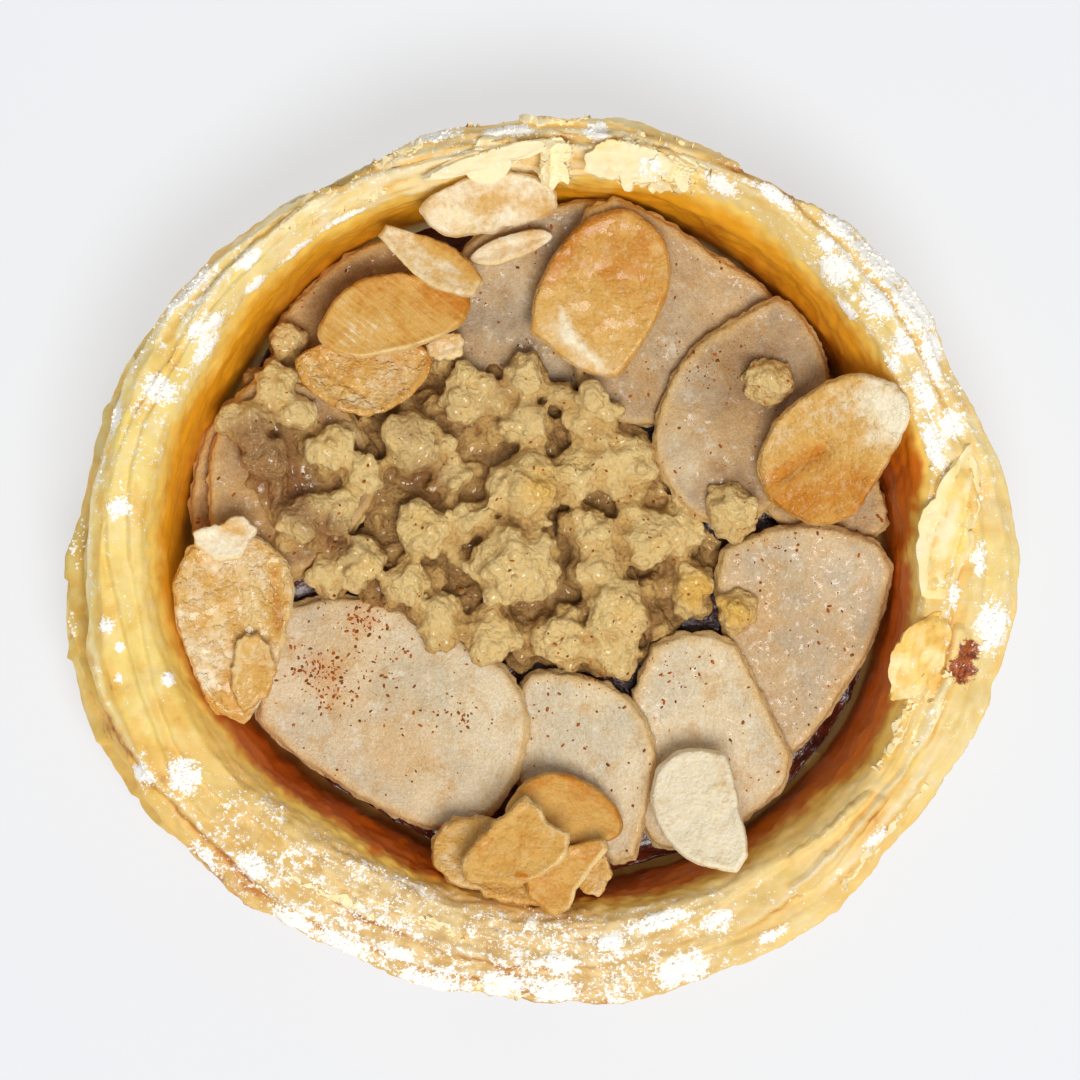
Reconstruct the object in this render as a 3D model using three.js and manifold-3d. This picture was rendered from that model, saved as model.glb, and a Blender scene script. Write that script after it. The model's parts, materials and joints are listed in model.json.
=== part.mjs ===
// A small round apple tart: a flaky pastry shell holding a dark fruit filling, a ring of overlapping
// apple slices, a heap of crumble in the middle and toasted almond flakes scattered on top.
// Millimetres, +Z up, origin on the table under the middle of the tart.
import * as THREE from "three";
import { mergeVertices } from "three/addons/utils/BufferGeometryUtils.js";
import Module from "manifold-3d";

const wasm = await Module();
wasm.setup();

const FULL_TURN = 2 * Math.PI;

// Clearances between pieces that touch
const GAP = 0.3;
const RESTING_GAP = 0.36;

// Pastry shell: radii and heights at even places round the tart, anticlockwise from +X
const SHELL_SEGMENTS = 58;
const BULGE_RADIUS = [
  51.6, 49.4, 49.6, 47.9, 48.0, 47.3, 47.2, 48.4, 50.0,
  51.4, 51.9, 50.8, 47.8, 47.8, 48.2, 48.9, 49.2, 50.4,
];
const INNER_LIP_RADIUS = [40.8, 42.0, 43.3, 42.3, 42.8, 41.8, 42.0, 40.2, 37.5, 38.6, 39.8, 41.6];
const OVERHANG = [2.0, 1.5, 1.6, 1.6, 1.4, 2.0, 3.2, 3.0, 1.6, 1.3, 1.3, 1.6];
const RIM_HEIGHT = [24.6, 24.0, 23.6, 24.2, 23.6, 24.0, 24.8, 24.0, 23.2, 23.6, 24.2, 24.8];
const FLOOR_THICKNESS = 4.6;
const WALL_RUN = [3.2, 5.0, 5.2, 4.4, 4.4, 4.4, 4.2, 4.4, 4.4, 3.6, 3.4, 4.0];
const WALL_HOLLOW = 1.5;
const FOOT_INSET = 3.2;
const FOOT_BEVEL = 1.6;
const FOOT_RISE = 1;
const COVE = 0.8;
const COVE_RISE = 0.6;
const WALL_BELLY_RISE = 2.5;
const LAYER_COUNT = 5;
const FIRST_LAYER_HEIGHT = 1.8;
const LAYER_PITCH = 3.3;
const LAYER_GROOVE = 0.9;
const LAYER_WAVE = 0.45;
const LAYER_SAG = 0.45;
const LAYER_LEAN = 0.3;
const LAYER_FACE = 0.55;
const LAYER_FLOOR = 0.72;
const RIM_WAVE = 0.35;
const LIP_DROP = 4.4;
const LIP_SHOULDER_DROP = 2.4;
const INNER_LIP_ROUND = 0.8;
const INNER_LIP_DROP = 1.9;
const TERRACE_COUNT = 3;
const TERRACE_STEP = 0.55;
const TERRACE_LEAN = 0.3;
const TERRACE_WAVE = 0.22;
const CROWN_RISE = 1.1;
const FLAKE_THICKNESS = 0.9;
const FLAKE_SINK = 0.75;

// Fruit filling
const FILLING_LEVEL = 9.6;
const FILLING_DOME = 0.8;
const FILLING_ROUND = 0.5;
const FILLING_SEGMENTS = 33;

// Crumble heap: its outline in plan, and how high its packed inside rises under the lumps
const HEAP_SEGMENTS = 22;
const HEAP_OUTLINE = [
  [-32, 6.4], [-34, 10], [-34, 14], [-32, 18.5], [-29.5, 22.4], [-26.6, 24.4], [-19, 18.8], [-12, 18.6],
  [-3, 21.4], [5, 17.4], [12, 12.4], [16.6, 6], [20.6, 2], [19.6, -6], [10.4, -11], [5, -13],
  [-4, -10.6], [-13, -8], [-21, -3.6], [-27, -1.6],
];
const HEAP_FOOT_HEIGHT = 10.6;
const HEAP_EDGE_HEIGHT = 12.4;
const HEAP_PEAK_HEIGHT = 16.8;
const HEAP_REACH = 24;
const HEAP_ROUNDNESS = 1.6;
const HEAP_COVER = 1.2;
const LUMP_ROUGHNESS = 0.14;
const LUMP_RISE = 0.17;
const LUMP_SQUAT = 0.85;
const LUMP_FULLNESS = 1.14;
const LUMP_CROWDING = 0.38;
const FINE_LUMP_WIDTH = 6.1;
const SMALL_LUMP_COUNT = 6;
const HEAP_SEED = 11;
const STRAY_SEED = 70;
const SMALL_LUMP_WIDTH = [3, 4.6];

const PASTRY = material(0xe8c878, 0.65);
const FILLING = material(0x4a1c0c, 0.3);
const APPLE = material(0xd0b890, 0.5);
const CRUMBLE = material(0xd0a868, 0.75);
const ALMOND = material(0xd8ac68, 0.5);

function material(color, roughness) {
  return new THREE.MeshStandardMaterial({ color, roughness, metalness: 0 });
}

// A repeatable source of numbers from 0 to 1
function seeded(seed) {
  let state = seed;
  return () => {
    state = (state + 0x6d2b79f5) | 0;
    let mixed = Math.imul(state ^ (state >>> 15), 1 | state);
    mixed = (mixed + Math.imul(mixed ^ (mixed >>> 7), 61 | mixed)) ^ mixed;
    return ((mixed ^ (mixed >>> 14)) >>> 0) / 4294967296;
  };
}

const mix = THREE.MathUtils.lerp;

// The value at an angle of a quantity given at even places round the tart, on a smooth closed curve
function around(values, angle) {
  const count = values.length;
  const place = (((angle / FULL_TURN) % 1) + 1) * count;
  const first = Math.floor(place);
  const share = place - first;
  const [before, here, next, after] = [-1, 0, 1, 2].map((step) => values[(first + step + count) % count]);
  const slope = (next - before) / 2;
  const nextSlope = (after - here) / 2;
  const bend = 3 * (next - here) - 2 * slope - nextSlope;
  const twist = 2 * (here - next) + slope + nextSlope;
  return here + share * (slope + share * (bend + share * twist));
}

// A wave round the tart, made of whole turns so that it closes on itself, between about -1 and 1
function ripple(seed, slowest, fastest) {
  const random = seeded(seed);
  const waves = [];
  for (let turns = slowest; turns <= fastest; turns++) {
    waves.push({ turns, phase: random() * FULL_TURN });
  }
  const scale = Math.sqrt(2 / waves.length);
  return (angle) => scale * waves.reduce((sum, w) => sum + Math.sin(w.turns * angle + w.phase), 0);
}

// A lathe geometry whose stations are asked for again at each angle, turned so that +Z is up
function unevenLathe(stationsAt, segments) {
  const plain = stationsAt(0).map(([radius, height]) => new THREE.Vector2(radius, height));
  const geometry = new THREE.LatheGeometry(plain, segments);
  const position = geometry.getAttribute("position");
  for (let segment = 0; segment <= segments; segment++) {
    const angle = ((segment % segments) / segments) * FULL_TURN;
    stationsAt(angle).forEach(([radius, height], station) => {
      const vertex = segment * plain.length + station;
      position.setXYZ(vertex, radius * Math.cos(angle), radius * Math.sin(angle), height);
    });
  }
  return facingOut(geometry);
}

// Merges the doubled vertices of a closed geometry and turns its faces outwards
function facingOut(geometry) {
  geometry.deleteAttribute("normal");
  geometry.deleteAttribute("uv");
  const merged = mergeVertices(geometry, 1e-4);
  const corners = Array.from(merged.index.array);
  const kept = [];
  for (let i = 0; i < corners.length; i += 3) {
    const [a, b, c] = corners.slice(i, i + 3);
    if (a !== b && b !== c && a !== c) kept.push(a, b, c);
  }
  merged.setIndex(kept);
  if (signedVolume(merged) < 0) {
    merged.setIndex(kept.reverse());
  }
  return merged;
}

function signedVolume(geometry) {
  const position = geometry.getAttribute("position");
  const [a, b, c] = [new THREE.Vector3(), new THREE.Vector3(), new THREE.Vector3()];
  let sum = 0;
  for (let i = 0; i < geometry.index.count; i += 3) {
    [a, b, c].forEach((corner, k) => corner.fromBufferAttribute(position, geometry.index.getX(i + k)));
    sum += a.dot(b.cross(c)) / 6;
  }
  return sum;
}

function toSolid(geometry) {
  const vertProperties = new Float32Array(geometry.getAttribute("position").array);
  const triVerts = new Uint32Array(geometry.index.array);
  return new wasm.Manifold(new wasm.Mesh({ numProp: 3, vertProperties, triVerts }));
}

function fromSolid(solid) {
  const mesh = solid.getMesh();
  const position = new THREE.BufferAttribute(new Float32Array(mesh.vertProperties), mesh.numProp);
  const index = new THREE.BufferAttribute(new Uint32Array(mesh.triVerts), 1);
  return new THREE.BufferGeometry().setAttribute("position", position).setIndex(index);
}

function largestBody(solid) {
  return solid.decompose().reduce((best, body) => (body.volume() > best.volume() ? body : best));
}

function addPiece(name, geometry, finish) {
  const mesh = new THREE.Mesh(geometry, finish.clone());
  mesh.name = name;
  tart.add(mesh);
  return mesh;
}

// Pastry shell

const rimWave = ripple(3, 4, 11);
const layerWaves = Array.from({ length: LAYER_COUNT }, (_, layer) => ripple(20 + layer, 3, 14));
const terraceWaves = Array.from({ length: TERRACE_COUNT }, (_, terrace) => ripple(40 + terrace, 2, 10));

function rimHeight(angle) {
  return around(RIM_HEIGHT, angle) + RIM_WAVE * rimWave(angle);
}

// The inner wall leans out towards the lip, steeper near its foot
function wallRadius(angle, height) {
  const lip = around(INNER_LIP_RADIUS, angle);
  const share = (height - FLOOR_THICKNESS) / (rimHeight(angle) - FLOOR_THICKNESS);
  return lip - around(WALL_RUN, angle) * (1 - share ** WALL_HOLLOW);
}

function shellStations(angle) {
  const bulge = around(BULGE_RADIUS, angle);
  const foot = bulge - FOOT_INSET;
  const lipOuter = bulge - around(OVERHANG, angle) + RIM_WAVE * rimWave(2 * angle);
  const lipInner = around(INNER_LIP_RADIUS, angle);
  const top = rimHeight(angle);
  const stations = [[0, 0], [foot - FOOT_BEVEL, 0], [foot, FOOT_RISE]];
  for (let layer = 0; layer < LAYER_COUNT; layer++) {
    const fullness = Math.sin((Math.PI * (layer + 1)) / (LAYER_COUNT + 0.6));
    const radius = mix(foot, bulge, fullness) + LAYER_WAVE * layerWaves[layer](angle);
    const low = FIRST_LAYER_HEIGHT + layer * LAYER_PITCH + LAYER_SAG * layerWaves[layer](angle + layer);
    stations.push([radius - LAYER_LEAN, low]);
    stations.push([radius, low + LAYER_FACE * LAYER_PITCH]);
    stations.push([radius - LAYER_GROOVE, low + LAYER_FLOOR * LAYER_PITCH]);
  }
  stations.push([lipOuter, top - LIP_DROP], [lipOuter + LAYER_LEAN, top - LIP_SHOULDER_DROP]);
  for (let terrace = 0; terrace < TERRACE_COUNT; terrace++) {
    const share = (terrace + 0.55 + TERRACE_WAVE * terraceWaves[terrace](angle)) / (TERRACE_COUNT + 0.7);
    const radius = mix(lipOuter, lipInner, share);
    const height = top - CROWN_RISE * (1 - Math.sin(Math.PI * (0.12 + 0.8 * share)));
    stations.push([radius + TERRACE_LEAN, height - TERRACE_STEP], [radius, height]);
  }
  stations.push([lipInner + INNER_LIP_ROUND, top - TERRACE_STEP], [lipInner, top - INNER_LIP_DROP]);
  const wallTop = mix(FILLING_LEVEL, top, 0.6);
  [wallTop, FILLING_LEVEL + GAP, FLOOR_THICKNESS + WALL_BELLY_RISE].forEach((height) => {
    stations.push([wallRadius(angle, height), height]);
  });
  stations.push([wallRadius(angle, FLOOR_THICKNESS + COVE_RISE) - COVE, FLOOR_THICKNESS]);
  stations.push([0, FLOOR_THICKNESS]);
  return stations;
}

// Torn flakes of pastry that lift off the rim, each outlined in plan
const RIM_FLAKE_SEGMENTS = 11;
const RIM_FLAKES = [
  [[40.6, -4.2], [40.3, 2], [41.4, 7], [44.2, 10.6], [46.4, 8.6], [45.4, 2.4], [43.4, -3.4]],
  [[37.4, -11.2], [39, -7.4], [43.4, -6.4], [46, -9.6], [42, -15.6], [38, -14.8]],
  [[-13.4, 40.4], [-8, 42.8], [-1, 44.8], [2.4, 44.6], [-2, 42.4], [-8, 40.9]],
  [[4.6, 40.9], [6, 45], [13.6, 43.4], [14.8, 40.8], [10, 40.2]],
  [[24.6, -33.4], [28, -28.6], [35.4, -24.8], [39, -26.6], [35, -32.4], [28.4, -36.6]],
];

// Fruit filling

function fillingStations(angle) {
  const low = FLOOR_THICKNESS + GAP;
  const bellyHeight = FLOOR_THICKNESS + WALL_BELLY_RISE;
  const insideWall = (height) => wallRadius(angle, height) - 2 * GAP;
  const edgeRadius = insideWall(FILLING_LEVEL);
  return [
    [0, low],
    [insideWall(FLOOR_THICKNESS + COVE_RISE) - COVE, low],
    [insideWall(bellyHeight), bellyHeight],
    [edgeRadius, FILLING_LEVEL - FILLING_ROUND],
    [edgeRadius - 2 * FILLING_ROUND, FILLING_LEVEL],
    [edgeRadius * 0.55, FILLING_LEVEL + 0.7 * FILLING_DOME],
    [0, FILLING_LEVEL + FILLING_DOME],
  ];
}

// Slabs: apple slices and almond flakes are flat pieces with a rounded edge and an outline in plan

const SLICE_SEGMENTS = 20;
const SLICE_SECTION = [[0, 0], [0.55, 0], [0.95, 0], [1, 0.45], [0.94, 1], [0.55, 1], [0, 1]];
const FLAKE_SEGMENTS = 14;
const FLAKE_SECTION = [[0, 0], [0.92, 0], [1, 0.45], [0.93, 1], [0.5, 1], [0, 1]];
const OUTLINE_TENSION = 0.42;
const SAMPLE_RINGS = [0, 0.2, 0.4, 0.55, 0.7, 0.8, 0.9, 0.96, 1];
const SETTLE_PASSES = 14;
const HIGH_SPOT_WEIGHT = 60;
const TERM_SCALE = 10;
const FLAT_TERM = { shape: () => 1, stiffness: 0 };
const TILT_TERMS = [(u) => u, (u, v) => v];
const BEND_TERMS = [(u) => u * u, (u, v) => u * v, (u, v) => v * v];
const stiffened = (shapes, stiffness) => shapes.map((shape) => ({ shape, stiffness }));
const RIGID = [FLAT_TERM, ...stiffened(TILT_TERMS, 0.07)];
const SUPPLE = [FLAT_TERM, ...stiffened(TILT_TERMS, 0.06), ...stiffened(BEND_TERMS, 0.5)];

function outlinePoints(corners, segments) {
  const points = corners.map(([x, y]) => new THREE.Vector3(x, y, 0));
  return new THREE.CatmullRomCurve3(points, true, "catmullrom", OUTLINE_TENSION)
    .getSpacedPoints(segments)
    .slice(0, segments);
}

function middleOf(points) {
  return points.reduce((sum, p) => sum.add(p), new THREE.Vector3()).divideScalar(points.length);
}

// The height of the highest surface under a point, or the filling's level where nothing is there
const caster = new THREE.Raycaster();
const DOWN = new THREE.Vector3(0, 0, -1);
const SKY = 80;
function heightUnder(x, y, pieces) {
  caster.set(new THREE.Vector3(x, y, SKY), DOWN);
  const hits = caster.intersectObjects(pieces, false);
  return hits.length ? hits[0].point.z : FILLING_LEVEL;
}

// Weighted least squares by Gaussian elimination on the normal equations; stiffer terms are held smaller
function fitTerms(terms, rows, heights, weights) {
  const size = terms.length;
  const total = weights.reduce((sum, weight) => sum + weight, 0);
  const table = Array.from({ length: size }, () => new Array(size + 1).fill(0));
  rows.forEach((row, k) => {
    row.forEach((left, i) => {
      row.forEach((right, j) => (table[i][j] += weights[k] * left * right));
      table[i][size] += weights[k] * left * heights[k];
    });
  });
  terms.forEach(({ stiffness }, i) => (table[i][i] += stiffness * total));
  for (let i = 0; i < size; i++) {
    for (let k = 0; k < size; k++) {
      if (k === i) continue;
      const factor = table[k][i] / table[i][i];
      for (let j = i; j <= size; j++) table[k][j] -= factor * table[i][j];
    }
  }
  return table.map((row, i) => row[size] / row[i]);
}

// The underside of a piece that lies on the high spots of what is below it
function settle(outline, middle, terms, below) {
  const between = outline.map((p, i) => p.clone().lerp(outline[(i + 1) % outline.length], 0.5));
  const edge = [...outline, ...between];
  const samples = SAMPLE_RINGS.flatMap((ring) => edge.map((p) => middle.clone().lerp(p, ring)));
  const rowAt = (x, y) => {
    const [u, v] = [(x - middle.x) / TERM_SCALE, (y - middle.y) / TERM_SCALE];
    return terms.map(({ shape }) => shape(u, v));
  };
  const rows = samples.map((p) => rowAt(p.x, p.y));
  const heights = samples.map((p) => heightUnder(p.x, p.y, below));
  const level = (row, factors) => row.reduce((sum, value, i) => sum + value * factors[i], 0);
  let weights = samples.map(() => 1);
  let factors = [];
  for (let pass = 0; pass < SETTLE_PASSES; pass++) {
    factors = fitTerms(terms, rows, heights, weights);
    weights = rows.map((row, i) => (heights[i] > level(row, factors) ? HIGH_SPOT_WEIGHT : 1));
  }
  const lift = Math.max(...rows.map((row, i) => heights[i] - level(row, factors))) + RESTING_GAP;
  return (x, y) => level(rowAt(x, y), factors) + lift;
}

function slab(outline, middle, section, thickness, underside) {
  const plain = section.map(([share, level]) => new THREE.Vector2(share, level));
  const geometry = new THREE.LatheGeometry(plain, outline.length);
  const position = geometry.getAttribute("position");
  for (let segment = 0; segment <= outline.length; segment++) {
    section.forEach(([share, level], station) => {
      const p = middle.clone().lerp(outline[segment % outline.length], share);
      const vertex = segment * section.length + station;
      position.setXYZ(vertex, p.x, p.y, underside(p.x, p.y) + level * thickness);
    });
  }
  return facingOut(geometry);
}

// The same slab grown by the clearance on every side, to cut what lies against it
function clearanceOf(outline, middle, section, thickness, underside) {
  const grown = outline.map((p) => p.clone().add(p.clone().sub(middle).setLength(1.5 * GAP)));
  return slab(grown, middle, section, thickness + 2 * GAP, (x, y) => underside(x, y) - GAP);
}

// The slices of apple, in the order they were laid: each later one overlaps the one before it
const SLICE_THICKNESS = 1.8;
const APPLE_SLICES = {
  left_under: [[-37.8, 5], [-36.6, 12.6], [-33, 17.4], [-24, 16], [-19, 7], [-25, -2], [-35, -3]],
  left_over: [[-35.8, 5], [-35, 13.4], [-30.4, 19.4], [-22, 17.4], [-17, 8], [-24, -1], [-33, -2]],
  top_left: [
    [-29.4, 23.6], [-25, 29.6], [-19.4, 33.6], [-15.4, 34.8],
    [-9, 31.6], [-10, 24], [-18, 20.6], [-26, 21],
  ],
  top: [[-9.6, 21], [-9.6, 32], [-4, 36.4], [3, 38.4], [8.4, 38.6], [11, 30], [6, 19], [-3, 16.4]],
  top_right: [
    [5, 37.4], [11, 38], [18.6, 33], [25, 29.2],
    [26.6, 25.4], [20, 16.6], [10, 14], [4, 19],
  ],
  right_under: [[26, 12], [33, 14], [37, 8], [37.8, 3], [33, 1], [27, 3], [23, 7]],
  right: [
    [26, 28.2], [28.6, 26.4], [31.6, 20], [30, 11.4], [24.6, 4.6],
    [17, 3.8], [12.2, 12.4], [15.6, 21.6], [21, 25.6],
  ],
  right_low: [
    [20, 1], [30, 3.6], [37.6, 1], [38.3, -1.6],
    [36, -10], [29.4, -20], [26.6, -21.8], [20, -8],
  ],
  bottom_right: [
    [12.4, -9.6], [20.6, -8.8], [25, -17], [27.6, -22.4],
    [26.6, -25], [21, -29.6], [13, -32], [9, -22],
  ],
  bottom: [
    [-1, -12.6], [6, -13.2], [10.4, -15.8], [12.7, -21.6],
    [10.4, -32.6], [8.4, -33.4], [0.6, -29], [-4, -20],
  ],
  bottom_left: [
    [-27.6, -5.4], [-17, -4.8], [-3.6, -12], [-1, -19],
    [-5, -28], [-13, -29.4], [-28.6, -20.2], [-30.8, -15],
  ],
};

// The almond flakes, in the order they fell
const ALMOND_FLAKES = {
  top_sliver: { thickness: 1.5, corners: [[-8, 32.2], [-5, 31.4], [1.7, 34.2], [0.6, 35.6], [-5, 34.4]] },
  top_crescent: {
    thickness: 1.5,
    corners: [[-13.1, 37.6], [-10, 39.9], [-3, 41.6], [1.4, 40], [2.3, 37], [-3, 35.6], [-10.2, 34.4]],
  },
  upper_left_round: {
    thickness: 1.4,
    corners: [[-26.4, 21.2], [-20, 24], [-12, 22.8], [-12.6, 18.6], [-18, 15.2], [-23.4, 17]],
  },
  upper_left_chip: {
    thickness: 1.2,
    corners: [[-12.2, 23], [-9, 24.6], [-7.9, 23.4], [-8.4, 21.8], [-11, 21.3]],
  },
  upper_left_oval: {
    thickness: 1.3,
    corners: [[-24.3, 23.8], [-21, 29], [-15, 31], [-9, 29.4], [-6.7, 27], [-11, 23.4], [-20, 21.3]],
  },
  upper_left_shard: {
    thickness: 1.8,
    corners: [[-17.3, 34.6], [-16.4, 35.9], [-10, 33.8], [-6, 30.4], [-7, 28], [-12.6, 29.6]],
  },
  top_shield: {
    thickness: 1.5,
    corners: [
      [-1, 24.2], [0.3, 30.5], [5, 36.5], [11, 37.2],
      [14.5, 31.6], [12.4, 24.8], [7.5, 18.9], [2, 22],
    ],
  },
  right_broad: {
    thickness: 1.5,
    corners: [[23.4, 9.8], [26, 15.5], [33, 19.7], [38.6, 18.6], [40, 15], [36.6, 9], [33, 3.4], [26, 4.8]],
  },
  left_disc: {
    thickness: 1.3,
    corners: [
      [-39.5, -6], [-37.8, 1.4], [-31, 2.8], [-26.2, -2],
      [-28.4, -12], [-31.4, -17.6], [-34.6, -17.4],
    ],
  },
  left_top_shard: {
    thickness: 1.1,
    corners: [[-37, 2.6], [-32.4, 4.4], [-30.5, 3.4], [-32, 0], [-35.4, -0.2]],
  },
  left_low_shard: {
    thickness: 1.2,
    corners: [[-33.2, -12.4], [-31.4, -8], [-29.4, -8.8], [-28.3, -12.6], [-31.6, -17]],
  },
  bottom_clump: {
    thickness: 2.2,
    corners: [[-12.2, -31], [-9.6, -28.2], [-3, -28.4], [3, -33], [2.4, -37.4], [-4, -37], [-10.6, -34.4]],
  },
  bottom_back: {
    thickness: 1.3,
    corners: [[-4, -27.4], [-1.4, -24.2], [2.6, -23.2], [7.6, -26], [9.3, -30], [4, -31], [-2, -30]],
  },
  bottom_crumb: { thickness: 2, corners: [[4.6, -33.6], [7, -32], [7.7, -34.6], [6.4, -36.6], [4.4, -36]] },
  bottom_low: {
    thickness: 1.2,
    corners: [[-1.6, -34.4], [3, -31], [7.8, -30.6], [4.6, -35], [2.6, -38.6], [-0.6, -37]],
  },
  bottom_front: {
    thickness: 1.2,
    corners: [[-8.5, -32.6], [-4, -27.8], [-0.6, -25.2], [0.4, -28], [3.8, -30.2], [0, -34.6], [-7.4, -35]],
  },
  bottom_pale: {
    thickness: 1.4,
    corners: [[12, -25.4], [14, -21.4], [20, -21], [21.4, -26.4], [22.4, -33.4], [17, -33], [13.2, -29.8]],
  },
};

// The largest lumps of crumble: where each one's middle is in plan, and its width
const LARGE_LUMPS = [
  [-1.6, 7.4, 7.6], [3.6, 8.8, 6], [-1.4, 14.4, 5.6], [5, 14.6, 5.6], [9.4, 10.8, 6.6], [-2.6, -0.6, 9],
  [11.8, 2.4, 6.4], [15.6, 2.8, 5.6], [5.4, 3.2, 5.6], [6.4, -1.6, 6.2], [8.4, -5.6, 7.4], [7.6, -10, 6.4],
  [2.6, -8.6, 6], [-12.8, 2.8, 6], [-7.4, 4, 4.6], [-14, -2, 5.4], [-11, -6.4, 5.8], [-5.2, -8, 6],
  [-19.4, 0, 6], [-23, -2, 4.8], [-22.4, 12, 4.8], [-19, 9.2, 4.8], [-13.6, 12.4, 6.4], [-29.6, 10.8, 5.4],
  [-28.6, 18.6, 4.8], [-31.4, 14.4, 5.4], [-27.2, 23.4, 4.4], [-22.4, 4.8, 5], [-8, 17.4, 5.6],
  [-1.4, 19.4, 5.4], [16.6, -3, 5.4], [-26.4, 4, 5],
];

// Lumps that rolled away from the heap, onto the slices
const STRAY_LUMPS = {
  far: [24.7, 19, 5.6],
  upper: [20.8, 5.2, 6],
  lower: [21.4, -5.8, 5.2],
};

// The packed inside of the heap, which also spreads over the inner ends of the slices
function heapCore(outline, middle, below) {
  const tops = [0.94, 0.85, 0.72, 0.58, 0.44, 0.25, 0].map((share) => [share, 1]);
  const section = [[0, 0], [0.9, 0], [1, 0.5], ...tops];
  const geometry = slab(outline, middle, section, 1, () => 0);
  const position = geometry.getAttribute("position");
  for (let i = 0; i < position.count; i++) {
    const [x, y, level] = [position.getX(i), position.getY(i), position.getZ(i)];
    const share = Math.min(1, Math.hypot(x - middle.x, y - middle.y) / HEAP_REACH);
    const domed = mix(HEAP_PEAK_HEIGHT, HEAP_EDGE_HEIGHT, share ** HEAP_ROUNDNESS);
    const top = Math.max(domed, heightUnder(x, y, below) + HEAP_COVER);
    position.setZ(i, mix(HEAP_FOOT_HEIGHT, top, level));
  }
  return geometry;
}

function lump(x, y, z, width, random) {
  const detail = width > FINE_LUMP_WIDTH ? 1 : 0;
  const geometry = new THREE.IcosahedronGeometry((LUMP_FULLNESS * width) / 2, detail);
  geometry.deleteAttribute("normal");
  geometry.deleteAttribute("uv");
  const whole = mergeVertices(geometry, 1e-4);
  const position = whole.getAttribute("position");
  for (let i = 0; i < position.count; i++) {
    const swell = 1 + LUMP_ROUGHNESS * (2 * random() - 1);
    position.setXYZ(i, position.getX(i) * swell, position.getY(i) * swell, position.getZ(i) * swell);
  }
  return whole.scale(1, 1, LUMP_SQUAT).rotateZ(random() * FULL_TURN).translate(x, y, z);
}

// Every lump of the heap: the large ones where they lie, then small ones where there is room
function allLumps(outline, middle, random) {
  const lumps = LARGE_LUMPS.map(([x, y, width]) => ({ x, y, width }));
  while (lumps.length < LARGE_LUMPS.length + SMALL_LUMP_COUNT) {
    const edge = outline[Math.floor(random() * outline.length)];
    const { x, y } = middle.clone().lerp(edge, 0.96 * Math.sqrt(random()));
    const width = mix(...SMALL_LUMP_WIDTH, random());
    const crowded = lumps.some((l) => Math.hypot(l.x - x, l.y - y) < LUMP_CROWDING * (l.width + width));
    if (!crowded) lumps.push({ x, y, width });
  }
  return lumps;
}

// Assembly, from the shell up

const tart = new THREE.Group();

const shellGeometry = unevenLathe(shellStations, SHELL_SEGMENTS);
const shellAlone = new THREE.Mesh(shellGeometry, PASTRY);
const flakeSolids = RIM_FLAKES.map((corners) => {
  const outline = outlinePoints(corners, RIM_FLAKE_SEGMENTS);
  const middle = middleOf(outline);
  const underside = settle(outline, middle, RIGID, [shellAlone]);
  const sunk = (x, y) => underside(x, y) - FLAKE_SINK;
  return toSolid(slab(outline, middle, FLAKE_SECTION, FLAKE_THICKNESS, sunk));
});
const shellSolid = flakeSolids.reduce((whole, flake) => whole.add(flake), toSolid(shellGeometry));
const placed = [addPiece("pastry_shell", fromSolid(largestBody(shellSolid)), PASTRY)];

placed.push(addPiece("fruit_filling", unevenLathe(fillingStations, FILLING_SEGMENTS), FILLING));

const sliceClearances = Object.entries(APPLE_SLICES).map(([name, corners]) => {
  const outline = outlinePoints(corners, SLICE_SEGMENTS);
  const middle = middleOf(outline);
  const underside = settle(outline, middle, SUPPLE, placed);
  const shape = [outline, middle, SLICE_SECTION, SLICE_THICKNESS, underside];
  placed.push(addPiece(`apple_slice_${name}`, slab(...shape), APPLE));
  return toSolid(clearanceOf(...shape));
});

function clearOfSlices(solid) {
  return largestBody(sliceClearances.reduce((whole, slice) => whole.subtract(slice), solid));
}

const strayClearances = Object.entries(STRAY_LUMPS).map(([name, [x, y, width]], i) => {
  const height = heightUnder(x, y, placed) + width * LUMP_RISE;
  const solid = toSolid(lump(x, y, height, width, seeded(STRAY_SEED + i)));
  placed.push(addPiece(`crumble_lump_${name}`, fromSolid(clearOfSlices(solid)), CRUMBLE));
  return toSolid(lump(x, y, height, width + 3 * GAP, seeded(STRAY_SEED + i)));
});

const random = seeded(HEAP_SEED);
const heapOutline = outlinePoints(HEAP_OUTLINE, HEAP_SEGMENTS);
const heapMiddle = middleOf(heapOutline);
const core = new THREE.Mesh(heapCore(heapOutline, heapMiddle, placed), CRUMBLE);
const lumpSolids = allLumps(heapOutline, heapMiddle, random).map(({ x, y, width }) => {
  const ground = heightUnder(x, y, [core, ...placed]);
  return toSolid(lump(x, y, ground + width * LUMP_RISE, width, random));
});
const heap = lumpSolids.reduce((whole, piece) => whole.add(piece), toSolid(core.geometry));
const roomTaken = [toSolid(placed[1].geometry.clone().translate(0, 0, GAP)), ...strayClearances];
const fitted = clearOfSlices(roomTaken.reduce((whole, piece) => whole.subtract(piece), heap));
placed.push(addPiece("crumble_heap", fromSolid(fitted), CRUMBLE));

Object.entries(ALMOND_FLAKES).forEach(([name, { thickness, corners }]) => {
  const outline = outlinePoints(corners, FLAKE_SEGMENTS);
  const middle = middleOf(outline);
  const underside = settle(outline, middle, RIGID, placed);
  const geometry = slab(outline, middle, FLAKE_SECTION, thickness, underside);
  placed.push(addPiece(`almond_${name}`, geometry, ALMOND));
});

const centre = new THREE.Box3().setFromObject(tart).getCenter(new THREE.Vector3());
tart.children.forEach((mesh) => mesh.position.set(-centre.x, -centre.y, 0));

export default tart;
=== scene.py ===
import json
import math
import random

import bmesh
import bpy
import numpy as np
from mathutils import Matrix, Vector, noise
from mathutils.bvhtree import BVHTree

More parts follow.
